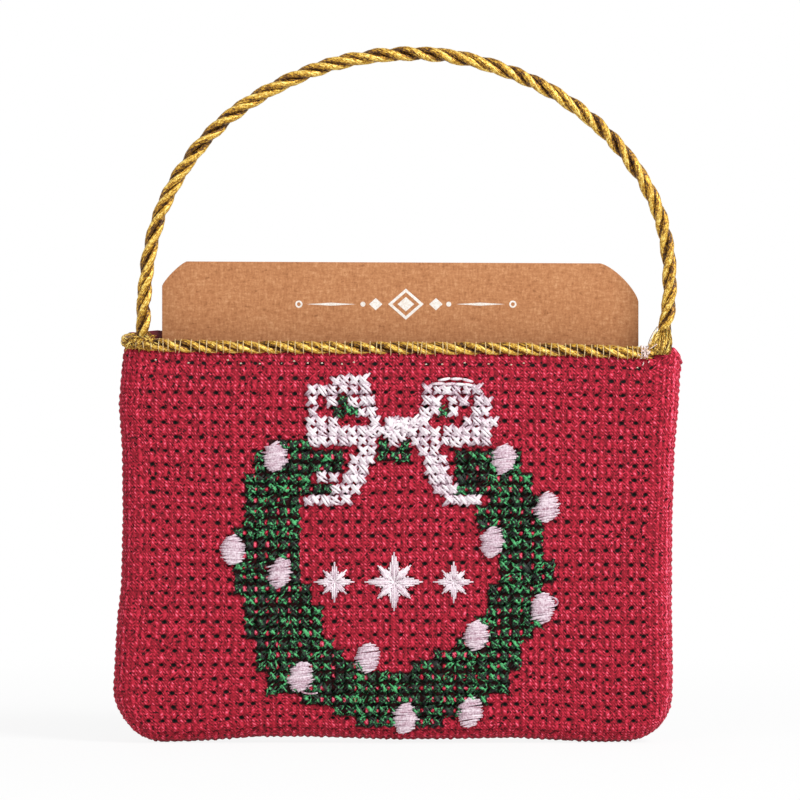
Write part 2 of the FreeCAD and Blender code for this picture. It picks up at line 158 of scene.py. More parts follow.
def set_map(piece, across, up):
    """The piece's own UV map, from two values for each vertex."""
    corners = np.empty(len(piece.data.loops), dtype=np.int32)
    piece.data.loops.foreach_get("vertex_index", corners)
    layer = piece.data.uv_layers.get("lay") or piece.data.uv_layers.new(name="lay")
    layer.data.foreach_set("uv", np.stack([across[corners], up[corners]], axis=1).astype(np.float32).ravel())


def set_value(piece, name, values):
    """A value for each vertex, such as how light it is, for the material to read."""
    held = piece.data.attributes.get(name) or piece.data.attributes.new(name, "FLOAT", "POINT")
    held.data.foreach_set("value", np.asarray(values, dtype=np.float32))


def applied(piece, kind, **settings):
    """Adds a modifier to a piece and applies it."""
    only(piece)
    modifier = piece.modifiers.new(kind.title(), kind)
    for name, value in settings.items():
        setattr(modifier, name, value)
    bpy.ops.object.modifier_apply(modifier=modifier.name)


def smooth(piece):
    """Shades a piece as one smooth surface."""
    only(piece)
    bpy.ops.object.shade_smooth()


def dressed(piece, material, body, slot, *nodes):
    """The piece gets its material, rides on a body and stands for CAD nodes, whose parts are hidden; the slot
    is not used.
    """
    piece.data.materials.append(material)
    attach(piece, body)
    if nodes:
        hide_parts(*nodes)


def step_up(value, low, high):
    """0 below low, 1 above high, and smooth between."""
    part = np.clip((np.asarray(value, dtype=float) - low) / (high - low), 0, 1)
    return part * part * (3 - 2 * part)


def run_along(points):
    """How far along a line each of its points lies."""
    return np.concatenate([[0], np.cumsum(np.linalg.norm(np.diff(points, axis=0), axis=1))])


def rolled_edge(roll_out, roll_back, fold, turned_in):
    """Cloth past a flat face: lengths along it, how far out and back it has gone, and its slopes."""
    turn = np.linspace(0, math.pi / 2, ROLL_STEPS + 1)
    fold_turn = np.linspace(0, math.pi / 2, 13)[1:]
    out = np.concatenate([roll_out * np.sin(turn), roll_out - fold * (1 - np.cos(fold_turn))])
    back = np.concatenate([roll_back * (1 - np.cos(turn)), roll_back + fold * np.sin(fold_turn)])
    out = np.append(out, out[-1] - turned_in)
    back = np.append(back, back[-1])
    run = run_along(np.stack([out, back], axis=1))
    return run, out, back, np.gradient(out, run), np.gradient(back, run)


def past_face(flat_x, flat_z, half, foot, corner):
    """How far flat cloth reaches past a face with round lower corners, and the way outwards there."""
    over_side = np.abs(flat_x) - (half - corner)
    over_foot = foot + corner - flat_z
    in_corner = (over_side > 0) & (over_foot > 0)
    reach = np.where(in_corner, np.hypot(over_side, over_foot), np.maximum(over_side, over_foot))
    safe = np.maximum(reach, 1e-9)
    way_x = np.where(in_corner, over_side / safe, over_side >= over_foot) * np.sign(flat_x)
    way_z = np.where(in_corner, -over_foot / safe, -1.0 * (over_foot > over_side))
    return reach - corner, way_x, way_z


def rolled(flat_x, flat_z, face, edge):
    """Flat cloth rolled back round a face: across, back and up, and the outward normal of the cloth."""
    past, way_x, way_z = past_face(flat_x, flat_z, *face)
    past = np.maximum(past, 0)
    run, out, back, out_slope, back_slope = edge
    gone_out = np.interp(past, run, out)
    gone_back = np.interp(past, run, back)
    rise_out = np.interp(past, run, out_slope)
    rise_back = np.interp(past, run, back_slope)
    length = np.hypot(rise_out, rise_back)
    normal = np.stack([way_x * rise_back, -rise_out, way_z * rise_back], axis=1) / length[:, None]
    return flat_x + way_x * (gone_out - past), gone_back, flat_z + way_z * (gone_out - past), normal


def hemmed(x, gone_back, z, normal, over_top):
    """Turns the cloth above its top edge over and down the inside: its place and its outward normal."""
    turn = np.minimum(over_top / HEM_FOLD, math.pi)
    place = np.stack([x, gone_back, z], axis=1) - normal * (HEM_FOLD * (1 - np.cos(turn)))[:, None]
    place[:, 2] += HEM_FOLD * np.sin(turn) - np.maximum(over_top - math.pi * HEM_FOLD, 0)
    facing = normal * np.cos(turn)[:, None]
    facing[:, 2] += np.sin(turn)
    return place, facing


def settled(x, z, mouth):
    """The pouch's outline as it lies: sides that draw in, a wavy foot and an uneven mouth."""
    side = np.where(x < 0, np.interp(z, *LEFT_SIDE), np.interp(z, *RIGHT_SIDE))
    side *= np.clip(np.abs(x) / POUCH_HALF, 0, 1.1) ** 3
    foot = np.interp(x, *FOOT_LINE) * step_up(-z, -16, 0)
    return x + side, z + foot + np.interp(x, *mouth) * step_up(z, 56, 69)


def puffed(x, z):
    """How far the front stands back from its foremost plane: soft, uneven swells of the cloth."""
    swell = np.sin(x / 15 + 1.0) * np.sin(z / 13 + 0.6) + 0.6 * np.sin(x / 8.5 - z / 10)
    return 0.16 * (swell + 1.6)


cloth_edge = rolled_edge(ROLL_OUT, ROLL_BACK, SEAM_FOLD, TURNED_IN)
seam_run = cloth_edge[0][ROLL_STEPS]
flat_right = FLAT_LEFT + CELL_COLUMNS * CELL_WIDE
flat_top = FLAT_FOOT + CELL_ROWS * CELL_HIGH
front = flat_cloth("front_cloth", FLAT_LEFT, flat_right, FLAT_FOOT, flat_top, CELL_COLUMNS, CELL_ROWS)
cut_corners(front, seam_run + FRONT_ALLOWANCE)
applied(front, "SOLIDIFY", thickness=CLOTH_THICK * MM, offset=-1)
edited(
    front,
    "FACE",
    lambda face: face.normal.y < -0.5 and face.center.z < (FRONT_TOP + HEM_FINE) * MM,
    bpy.ops.mesh.subdivide,
    number_cuts=CELL_STEPS - 1,
)
flat = read_places(front)
outside = flat[:, 1] < CLOTH_THICK / 2
flat_x, flat_z = flat[:, 0], flat[:, 2]
across = (flat_x - FLAT_LEFT) / CELL_WIDE
up = (flat_z - FLAT_FOOT) / CELL_HIGH
set_map(front, across, up)

# Pillows of thread with a hole at each corner, and floats of thread that stand up between a column's holes
HOLE_WIDE = 0.135
HOLE_HIGH = 0.115
HOLE_DEPTH = 0.6
SCALLOP = 1.27
to_column = np.abs(across - np.rint(across))
to_row = np.abs(up - np.rint(up))
past, way_x, way_z = past_face(flat_x, flat_z, *FLAT_FACE)
closes = 1.4 - 2.4 * np.abs(way_x)
hole_open = (1 - step_up(past, closes, closes + 0.9)) * (1 - step_up(flat_z, 67.9, 68.6))
hole = np.exp(-((to_column / HOLE_WIDE) ** 2) - (to_row / HOLE_HIGH) ** 2) * hole_open
float_ridge = (1 - step_up(to_column, 0.04, 0.2)) * step_up(to_row, 0.12, 0.32)
pillow = np.sin(math.pi * to_column) * np.sin(math.pi * to_row)
cloth_chance = np.random.default_rng(11)
uneven = cloth_chance.normal(0, 1, (CELL_COLUMNS * CELL_STEPS + 1, CELL_ROWS * CELL_STEPS + 1))
uneven = uneven[np.rint(across * CELL_STEPS).astype(int), np.rint(up * CELL_STEPS).astype(int)]
rim = step_up(past, 0.6, 2.6)
along_rim = np.where(np.abs(way_x) > np.abs(way_z), flat_z, flat_x)
scallop = np.abs(np.sin(math.pi * along_rim / SCALLOP + 0.4 * np.sin(along_rim / 3)))
hole_depth = HOLE_DEPTH - 0.4 * step_up(flat_z, 62.5, 64)
relief = 0.05 * pillow + 0.14 * float_ridge - hole_depth * hole + 0.035 * uneven - 0.1
relief += rim * (0.24 * scallop - 0.12)

# The cells aren't quite even: columns stand in pairs, and rows wander a little
pair = np.where(np.rint(across).astype(int) % 2 == 0, 0.062, -0.062) * CELL_WIDE * (1 - 2 * to_column)
pull_x = pair + 0.18 * np.sin(flat_z / 9 + flat_x / 23) + 0.1 * np.sin(flat_z / 3.7 + 2)
pull_z = 0.2 * np.sin(flat_x / 11 + 0.7) * step_up(flat_z, 2, 14) + 0.1 * np.sin(flat_x / 4.1 + flat_z / 7)
fade = np.exp(-np.maximum(past, 0))
lying_x = flat_x + pull_x * fade
lying_z = flat_z + pull_z * fade * (1 - step_up(flat_z, 60, 66))
over_top = np.maximum(lying_z - FRONT_TOP, 0)
x, back, z, normal = rolled(lying_x, np.minimum(lying_z, FRONT_TOP), FLAT_FACE, cloth_edge)
place, facing = hemmed(x, back, z, normal, over_top)
place[:, 1] += FRONT_FACE
raised = np.where(over_top > 1.0, np.minimum(relief, 0), relief)
place += facing * np.where(outside, raised, -CLOTH_THICK)[:, None]
place[:, 1] += puffed(place[:, 0], place[:, 2]) * (1 - step_up(back, 0, 2.5))
place[:, 0], place[:, 2] = settled(place[:, 0], place[:, 2], FRONT_MOUTH)
place[:, 2] = np.maximum(place[:, 2], FLOOR_GAP)
set_places(front, place)
smooth(front)
set_value(front, "open", hole_open)
cloth_places = place
# Painted light: the rim is painted a little lighter all round, and much lighter on the right, where the key
# light falls on it.
cloth_painted_light = 1 + rim * (0.06 + 0.34 * step_up(way_x, 0.2, 0.9))
cloth_outside = outside & (over_top < 0.2)


class Finish:
    """The nodes of a material or of the room, and the few ways in which its values are worked out."""

    def __init__(self, owner):
        owner.use_nodes = True
        self.owner = owner
        self.tree = owner.node_tree

    def feed(self, node, inputs):
        """Sets each input of a node to a number or a colour, or links it to another node's output."""
        for name, value in inputs.items():
            if isinstance(value, bpy.types.NodeSocket):
                self.tree.links.new(value, node.inputs[name])
            else:
                node.inputs[name].default_value = value

    def add(self, kind, inputs=None, **settings):
        """A new node with its settings and inputs."""
        node = self.tree.nodes.new("ShaderNode" + kind)
        for name, value in settings.items():
            setattr(node, name, value)
        self.feed(node, inputs or {})
        return node

    def place(self):
        """Where a point is on the piece."""
        return self.add("TexCoord").outputs["Object"]

    def lay(self):
        """Where a point is on the piece's own map."""
        return self.add("UVMap", uv_map="lay").outputs["UV"]

    def held(self, name):
        """A value that the piece holds for each vertex."""
        return self.add("Attribute", attribute_name=name).outputs["Fac"]

    def worked(self, operation, *values):
        """Plain arithmetic."""
        return self.add("Math", dict(enumerate(values)), operation=operation).outputs[0]

    def eased(self, value, low, high, start=0.0, stop=1.0):
        """An eased step from start to stop between two limits."""
        limits = {"Value": value, "From Min": low, "From Max": high, "To Min": start, "To Max": stop}
        return self.add("MapRange", limits, interpolation_type="SMOOTHSTEP").outputs["Result"]

    def noise(self, where, scale, detail, roughness=0.5):
        """Soft noise between 0 and 1."""
        inputs = {"Vector": where, "Scale": scale, "Detail": detail, "Roughness": roughness}
        return self.add("TexNoise", inputs).outputs["Fac"]

    def grained(self, where, turn, stretch):
        """Places turned and stretched, so that a noise runs one way."""
        return self.add("Mapping", {"Vector": where, "Rotation": turn, "Scale": stretch}).outputs["Vector"]

    def layered(self, tone, *marks):
        """A tone with marks laid over it, each at its own strength."""
        for mark, strength in marks:
            tone = self.worked("MULTIPLY_ADD", mark, strength, tone)
        return tone

    def relief(self, height, strength, depth):
        """The normal of a fine relief, with its depth in millimetres."""
        inputs = {"Height": height, "Strength": strength, "Distance": depth * MM}
        return self.add("Bump", inputs).outputs["Normal"]

    def painted(self, tone, shades, sockets):
        """The material: its colour follows a tone through screen colours, and its other sockets are set."""
        ramp = self.add("ValToRGB", {"Fac": tone})
        elements = ramp.color_ramp.elements
        elements.remove(elements[1])
        for number, (at, colour) in enumerate(shades):
            element = elements[0] if number == 0 else elements.new(at)
            element.position = at
            element.color = linear(*colour)
        shader = self.tree.nodes["Principled BSDF"]
        self.feed(shader, {"Base Color": ramp.outputs["Color"], **sockets})
        return self.owner


def cross_stitch_cloth():
    """Slanting flecks of thread painted lighter as highlights, four to a cell each way, floats between the
    holes painted brighter as highlights, and holes painted near black as the shade inside them.
    """
    finish = Finish(bpy.data.materials.new("red_cross_stitch_cloth"))
    worked, eased = finish.worked, finish.eased
    split = finish.add("SeparateXYZ", {"Vector": finish.lay()})
    across, up = split.outputs["X"], split.outputs["Y"]
    place = finish.place()

    def to_nearest(value):
        """How far a value is from the nearest whole number."""
        return worked("ABSOLUTE", worked("SUBTRACT", worked("FRACT", worked("ADD", value, 0.5)), 0.5))

    def length(one, other):
        return worked("SQRT", worked("ADD", worked("MULTIPLY", one, one), worked("MULTIPLY", other, other)))

    def luck(column, row, number):
        """A chance value for each cell; another number gives other values."""
        cell = finish.add("CombineXYZ", {"X": column, "Y": row, "Z": number}).outputs["Vector"]
        return finish.add("TexWhiteNoise", {"Vector": cell}, noise_dimensions="3D").outputs["Value"]

    def fleck(per_cell, shift, number):
        """Flecks of the threads' twist, painted lighter as highlights, that mostly lean to the left, each
        with its own strength.
        """
        sway = worked("MULTIPLY_ADD", finish.noise(place, 500, 1.0), 0.6, shift)
        drift = worked("MULTIPLY_ADD", finish.noise(place, 430, 1.0), 0.8, shift * 0.7)
        thread_across = worked("MULTIPLY_ADD", across, per_cell, sway)
        thread_up = worked("MULTIPLY_ADD", up, per_cell, drift)
        column, row = worked("FLOOR", thread_across), worked("FLOOR", thread_up)
        turned = worked("MULTIPLY_ADD", worked("GREATER_THAN", luck(column, row, number), 0.2), 2.0, -1.0)
        side = worked("SUBTRACT", worked("FRACT", thread_across), 0.5)
        level = worked("MULTIPLY", worked("SUBTRACT", worked("FRACT", thread_up), 0.5), turned)
        along = worked("MULTIPLY", worked("SUBTRACT", side, level), 0.85)
        aside = worked("MULTIPLY", worked("ADD", side, level), 2.1)
        shape = eased(length(along, aside), 0.25, 0.8, 1.0, 0.0)
        return worked("MULTIPLY", shape, luck(column, row, number + 3))

    to_column, to_row = to_nearest(across), to_nearest(up)
    # Painted highlights and shade: the flecks and the floats between the holes are painted lighter, a line
    # beside each float is painted darker as the shade in its crease, and darker patches come at random.
    tone = finish.layered(
        0.315,
        (fleck(4.0, 0.2, 1.5), 0.52),
        (fleck(2.0, 0.2, 8.5), 0.26),
        (worked("MULTIPLY", eased(to_column, 0.08, 0.2, 1.0, 0.0), eased(to_row, 0.14, 0.3)), 0.13),
        (worked("MULTIPLY", eased(to_column, 0.12, 0.22), eased(to_column, 0.26, 0.36, 1.0, 0.0)), -0.09),
        (eased(finish.noise(place, 1900, 1.0), 0.58, 0.68), -0.24),
    )
    tone = worked("ADD", tone, worked("MULTIPLY_ADD", finish.noise(place, 2600, 2.0), 0.4, -0.2))
    # Painted shade: each open hole is painted near black, as the dark inside it, and the tone is multiplied
    # by the light and shade painted on the cloth's vertices.
    hole_luck = luck(worked("ROUND", across), worked("ROUND", up), 20.5)
    hole_reach = length(worked("DIVIDE", to_column, 0.168), worked("DIVIDE", to_row, 0.112))
    hole_reach = worked("MULTIPLY", hole_reach, worked("MULTIPLY_ADD", hole_luck, 0.4, 0.82))
    hole = worked("MULTIPLY", eased(hole_reach, 0.7, 1.35, 1.0, 0.0), finish.held("open"))
    tone = worked("MULTIPLY", worked("MULTIPLY", tone, worked("SUBTRACT", 1.0, hole)), finish.held("tone"))
    shades = [
        (0.0, (6, 9, 7)),
        (0.14, (70, 13, 20)),
        (0.30, (136, 25, 40)),
        (0.46, (182, 36, 56)),
        (0.66, (216, 54, 80)),
        (0.92, (252, 112, 140)),
    ]
    relief = finish.relief(tone, strength=0.7, depth=0.3)
    return finish.painted(tone, shades, {"Normal": relief, "Roughness": 0.7, "Specular IOR Level": 0.15})


dressed(front, cross_stitch_cloth(), "pouch", "front_cloth", "front_panel")

# Wreath and bow: cross-stitches of stranded embroidery floss, two crossing legs each. Green floss makes
# the ring of leaves, on a square grid of its own, and white floss the bow's loops, knot and tails, whose
# rows and stitches aren't quite even.
STITCH = 1.966
WREATH_X = -0.6
WREATH_Z = 31.45
# How far the leaves reach from the wreath's middle, at even steps round from its right
RING_OUTER = (
    27.8, 27.0, 29.0, 29.5, 24.4, 23.6, 23.8, 24.0, 26.5, 32.0, 30.0, 28.4,
    28.2, 28.1, 28.8, 31.0, 27.6, 28.4, 27.6, 28.7, 28.6, 29.4, 27.0, 27.8,
)
RING_INNER = (
    18.6, 17.8, 16.8, 17.6, 17.2, 17.4, 17.6, 17.6, 17.4, 17.8, 19.4, 18.0,
    17.6, 15.4, 15.6, 17.0, 18.4, 18.6, 18.4, 17.4, 17.5, 17.9, 18.2, 17.3,
)
BERRY_WIDE = 4.0
BERRY_HIGH = 5.2
BERRIES = (
    (-21.7, 51.0), (-29.3, 34.5), (-20.9, 30.4), (-17.2, 11.9), (-5.3, 15.2), (1.4, 4.5),
    (12.9, 5.6), (14.0, 19.3), (25.8, 24.1), (16.8, 35.9), (26.6, 42.0), (18.9, 50.6),
)
# The bow's rows from the top: the height over the wreath's middle, and the places across of its stitches
BOW_ROWS = (
    (33.2, (-10.4, -8.9, -7.2, -5.6)),
    (31.5, (-14.5, -12.8, -11.0, -9.0, -7.1, -5.3, 6.1, 7.7, 9.3, 11.0, 13.0, 14.6)),
    (29.5, (-14.6, -11.1, -7.2, -5.4, -4.2, 5.7, 7.5, 10.4, 12.4, 15.0, 16.4)),
    (27.6, (-14.6, -5.8, -3.9, 5.6, 7.1, 10.5, 14.7, 16.3)),
    (25.8, (-14.7, -12.9, -10.9, -3.4, -0.9, 0.3, 1.9, 3.6, 5.2, 13.1, 14.8, 16.4, 17.7)),
    (
        24.1,
        (-14.5, -12.8, -10.8, -9.2, -7.6, -5.7, -4.0, -2.2, -0.4)
        + (1.8, 3.5, 5.1, 7.2, 9.4, 11.0, 12.7, 14.7, 16.3),
    ),
    (22.4, (-14.3, -12.8, -10.8, -9.0, -7.4, -5.7, -4.0, 0.0, 3.6, 5.4, 7.3, 9.1, 11.0, 12.7, 14.5, 16.2)),
    (20.6, (-5.5, -4.0, 5.4, 7.0)),
    (19.0, (-7.0, -5.5, -4.3, 6.2, 7.3, 8.5)),
    (17.3, (-7.4, -5.6, 6.4, 7.4, 8.6)),
    (16.1, (-12.8, -10.8)),
    (15.6, (-8.5, -7.0, -5.7, 7.2, 8.4, 9.7)),
    (13.8, (-10.4, -8.6, -6.9, 8.0, 9.2, 10.4)),
    (11.9, (-15.2, -13.8, -12.3, -10.5, -8.6, 9.9, 11.1, 12.4, 13.6, 14.6)),
)
LEAVES_IN_LOOPS = ((-9.3, 29.7), (-9.9, 27.7), (-8.4, 27.8), (-7.0, 27.6), (8.8, 27.5))
KNOT_U, KNOT_V = 0.3, 24.4
GRID_ROWS = range(-17, 19)
GRID_COLUMNS = range(-17, 18)
CLEAR_OF_BOW = 1.3
UNDER_BERRY = 0.42
CROSS_KINDS = 9
# A leg of a cross from hole to hole: the share of its reach, its rise off the cloth, and its thickness
CROSS_LEG = ((-1, -0.15, 0.75), (-0.42, 1.0, 1.1), (0.42, 1.0, 1.1), (1, -0.15, 0.75))
stitch_chance = np.random.default_rng(5)


def linked(name, data):
    """A new object in the scene."""
    holder = bpy.data.objects.new(name, data)
    bpy.context.scene.collection.objects.link(holder)
    return holder


def meshed(name, places, faces):
    """A new piece from places in millimetres and the faces between them."""
    mesh = bpy.data.meshes.new(name)
    mesh.from_pydata((places * MM).tolist(), [], faces)
    return linked(name, mesh)


def threads(name, paths, radius, resolution):
    """Round threads along paths in millimetres, as one mesh with closed ends."""
    curve = bpy.data.curves.new(name, "CURVE")
    curve.dimensions = "3D"
    curve.bevel_depth = radius * MM
    curve.bevel_resolution = resolution
    curve.use_fill_caps = True
    for path in paths:
        spline = curve.splines.new("POLY")
        spline.points.add(len(path) - 1)
        for point, (x, y, z, thick) in zip(spline.points, path):
            point.co = (x * MM, y * MM, z * MM, 1)
            point.radius = thick
    only(linked(name, curve))
    bpy.ops.object.convert(target="MESH")
    piece = bpy.context.object
    piece.name = name
    bpy.ops.object.mode_set(mode="EDIT")
    bpy.ops.mesh.select_all(action="SELECT")
    bpy.ops.mesh.remove_doubles(threshold=0.000001)
    bpy.ops.mesh.normals_make_consistent(inside=False)
    bpy.ops.object.mode_set(mode="OBJECT")
    smooth(piece)
    return piece


def each_tone(piece, paths, tones):
    """One tone for each thread of a piece, spread over that thread's vertices."""
    count = np.array([len(path) for path in paths])
    total = len(piece.data.vertices)
    spread = np.repeat(tones, count * (total // count.sum()))
    return np.concatenate([spread, np.full(total - len(spread), np.mean(tones))])


def cloth_y(x, z):
    """The front cloth's face at a place, in millimetres."""
    return FRONT_FACE + puffed(x, z)


def one_cross(strands, radius, reach, ragged, uneven):
    """A cross-stitch: two legs of strands side by side over a small hump, no two quite alike."""
    legs, tones = [], []
    for turn, height in ((math.radians(45), 0.2), (math.radians(135), 0.42)):
        for strand in range(strands):
            aside = (strand - (strands - 1) / 2) * radius * 1.8
            sway = ragged * stitch_chance.normal()
            lift = 1 + 0.2 * stitch_chance.normal()
            way_x, way_z = math.cos(turn + 2 * ragged * sway), math.sin(turn + 2 * ragged * sway)
            leg = []
            for along, rise, thick in CROSS_LEG:
                side = aside * (1.15 - 0.5 * abs(along)) + sway * (1 - along * along)
                run = along * reach * (1 + ragged * stitch_chance.normal())
                stout = thick * (1 + ragged * stitch_chance.normal())
                x, z = run * way_x - side * way_z, run * way_z + side * way_x
                leg.append((x, -height * rise * lift, z, stout))
            legs.append(leg)
            tones.append(uneven * stitch_chance.normal())
    cross = threads("cross", legs, radius, 0)
    # Painted shade and highlight: each stitch is painted darker where it lies low by the cloth and lighter
    # where it stands up; each strand also has its own random tone.
    height = -read_places(cross)[:, 1]
    set_value(cross, "tone", 0.12 + 0.62 * np.clip(height / 0.6, 0, 1) + each_tone(cross, legs, tones))
    return cross


def copies(name, patterns, moves, tones):
    """Copies of small pieces at places (x, y, z, turn, size), as one mesh, each with its own tone."""
    shapes = []
    for pattern in patterns:
        tone = np.empty(len(pattern.data.vertices))
        pattern.data.attributes["tone"].data.foreach_get("value", tone)
        shapes.append((read_places(pattern), tone, [tuple(face.vertices) for face in pattern.data.polygons]))
    all_places, all_faces, all_tones, start = [], [], [], 0
    for number, (x, y, z, turn, size) in enumerate(moves):
        base, base_tone, faces = shapes[(number * 5 + number // 4) % len(shapes)]
        cosine, sine = math.cos(turn) * size, math.sin(turn) * size
        turned_x = x + base[:, 0] * cosine - base[:, 2] * sine
        turned_z = z + base[:, 0] * sine + base[:, 2] * cosine
        all_places.append(np.stack([turned_x, y + base[:, 1] * size, turned_z], axis=1))
        all_faces += [tuple(corner + start for corner in face) for face in faces]
        all_tones.append(base_tone + tones[number])
        start += len(base)
    piece = meshed(name, np.concatenate(all_places), all_faces)
    set_value(piece, "tone", np.concatenate(all_tones))
    smooth(piece)
    return piece


def green_stitch(u, v):
    """Whether the wreath has a leaf stitch at a point."""
    turn = math.degrees(math.atan2(v, u)) % 360
    angles = np.arange(len(RING_OUTER) + 1) * 360 / len(RING_OUTER)
    outer = np.interp(turn, angles, RING_OUTER + RING_OUTER[:1])
    inner = np.interp(turn, angles, RING_INNER + RING_INNER[:1])
    ring = inner < math.hypot(u, v) < outer
    under_knot = abs(u + 0.1) < 3.5 and 18.0 < v < 24.0
    between_tails = abs(u - 0.4) < 9.6 and v > 12
    return (ring and not between_tails) or under_knot


white_spots = [(u, v) for v, row in BOW_ROWS for u in row]
green_spots, stitched = list(LEAVES_IN_LOOPS), set()
for row in GRID_ROWS:
    for column in GRID_COLUMNS:
        u, v = column * STITCH, row * STITCH
        to_bow = min(math.hypot(u - white_u, v - white_v) for white_u, white_v in white_spots)
        if green_stitch(u, v) and to_bow > CLEAR_OF_BOW:
            green_spots.append((u, v))
            stitched.add((column, row))


def laid_out(spots):
    """Where each stitch of a floss lies, with its small faults, and its tone. None lies under a berry."""
    moves, tones = [], []
    for number, (u, v) in enumerate(spots):
        shake = stitch_chance.normal(0, 1, 5)
        x = WREATH_X + u + 0.09 * shake[0]
        z = WREATH_Z + v + 0.09 * shake[1]
        to_berry = min(math.hypot((x - bx) / BERRY_WIDE, (z - bz) / BERRY_HIGH) for bx, bz in BERRIES)
        if to_berry < UNDER_BERRY:
            continue
        turn = 0.1 * shake[2] + math.pi * (number % 2)
        moves.append((x, cloth_y(x, z) - 0.1, z, turn, 1 + 0.06 * shake[3]))
        tones.append(0.09 * shake[4])
    return moves, tones


green_crosses = [
    one_cross(strands=3, radius=0.15, reach=1.18, ragged=0.24, uneven=0.26) for number in range(CROSS_KINDS)
]
white_crosses = [
    one_cross(strands=2, radius=0.235, reach=1.2, ragged=0.12, uneven=0.1) for number in range(CROSS_KINDS)
]
wreath = copies("wreath_floss", green_crosses, *laid_out(green_spots))
bow = copies("bow_floss", white_crosses, *laid_out(white_spots))
for cross in green_crosses + white_crosses:
    bpy.data.objects.remove(cross)


def floss_material(name, shades, roughness, fibre_scale, fibre_and_sheen_depth):
    """Embroidery floss whose colour follows each strand's tone, with its painted shade and highlight, broken
    up by fine fibres that are also painted lighter and darker in patches as the floss's sheen.
    """
    finish = Finish(bpy.data.materials.new(name))
    fibre = finish.noise(finish.place(), fibre_scale, 2.0, 0.65)
    # Partly painted sheen: the fibres shift the tone up and down in patches, as the floss catches the light.
    spread = finish.eased(fibre, 0.34, 0.66, -fibre_and_sheen_depth, fibre_and_sheen_depth)
    tone = finish.worked("ADD", finish.held("tone"), spread)
    relief = finish.relief(fibre, strength=0.5, depth=0.1)
    return finish.painted(tone, shades, {"Normal": relief, "Roughness": roughness, "Specular IOR Level": 0.4})


green_shades = [
    (0.0, (4, 10, 7)),
    (0.42, (7, 25, 14)),
    (0.64, (12, 56, 29)),
    (0.84, (28, 108, 58)),
    (1.0, (84, 186, 116)),
]
white_shades = [
    (0.0, (150, 96, 112)),
    (0.25, (200, 172, 186)),
    (0.50, (232, 216, 224)),
    (0.80, (250, 242, 246)),
]
green_floss = floss_material("green_floss", green_shades, roughness=0.45, fibre_scale=2000, fibre_and_sheen_depth=0.6)
white_floss = floss_material("white_floss", white_shades, roughness=0.5, fibre_scale=3000, fibre_and_sheen_depth=0.16)
dressed(wreath, green_floss, "pouch", "green_floss", "wreath_stitches")
dressed(bow, white_floss, "pouch", "white_floss", "bow_stitches")

# Under the leaves the cloth is painted dark, as the shade between the stitches, and the specks of red where
# it comes up are painted lighter than the open cloth
LEAF_SHADE = 0.15
SPECK_LIGHT = 1.9
SPECK_RISE = 0.45
column_at = (cloth_places[:, 0] - WREATH_X) / STITCH
row_at = (cloth_places[:, 2] - WREATH_Z) / STITCH
column_near, row_near = np.rint(column_at).astype(int), np.rint(row_at).astype(int)
covered = np.array([spot in stitched for spot in zip(column_near.tolist(), row_near.tolist())])
from_side = np.abs(column_at - column_near)
from_level = np.abs(row_at - row_near)
speck_luck = np.random.default_rng(23).random((64, 64))
speck_luck = speck_luck[np.rint(column_at + 0.5).astype(int) % 64, row_near % 64]
speck = (from_side > 0.33) & (from_level < 0.2) & (speck_luck > 0.2)
cloth_painted_light = np.where(covered & cloth_outside, np.where(speck, SPECK_LIGHT, LEAF_SHADE), cloth_painted_light)
set_value(front, "tone", cloth_painted_light)
cloth_places[:, 1] -= np.where(covered & speck & cloth_outside, SPECK_RISE, 0)
set_places(front, cloth_places)

# Outline of the bow: short flat stitches of the same floss along the top of its right loop, slanting ties
# from the knot to both loops, and small stitches heaped over the knot.
# Each flat stitch or tie runs from one place to another, measured from the wreath's middle
OUTLINE_STITCHES = (
    (7.9, 33.1, 9.9, 33.5),
    (10.1, 33.4, 12.0, 33.4),
    (12.1, 33.4, 14.0, 32.9),
    (6.8, 32.5, 8.9, 32.6),
    (8.7, 32.4, 10.8, 32.6),
    (10.6, 32.5, 12.6, 32.4),
    (12.4, 32.5, 14.4, 32.1),
    (14.1, 32.4, 15.6, 31.0),
    (-3.0, 25.3, -4.9, 23.8),
    (-2.6, 24.9, -4.3, 23.5),
    (2.6, 25.3, 4.4, 27.1),
    (3.2, 25.0, 5.0, 26.7),
    (4.6, 25.0, 6.3, 26.5),
    (4.7, 24.8, 6.4, 23.7),
)
OUTLINE_RADIUS = 0.23
KNOT_STITCHES = 26
KNOT_WIDE = 3.8
KNOT_HIGH = 3.2
KNOT_REACH = 0.85


def thread_path(x, y, z, thick=1.0):
    """A thread's path: its points in millimetres, and how thick it is at each."""
    return np.stack(np.broadcast_arrays(x, y, z, thick), axis=1)


def toned_threads(name, paths, radius, resolution, chance, tone, uneven):
    """Threads of floss or yarn, every one with its own tone."""
    piece = threads(name, paths, radius, resolution)
    tones = tone + uneven * chance.normal(0, 1, len(paths))
    set_value(piece, "tone", each_tone(piece, paths, tones))
    return piece


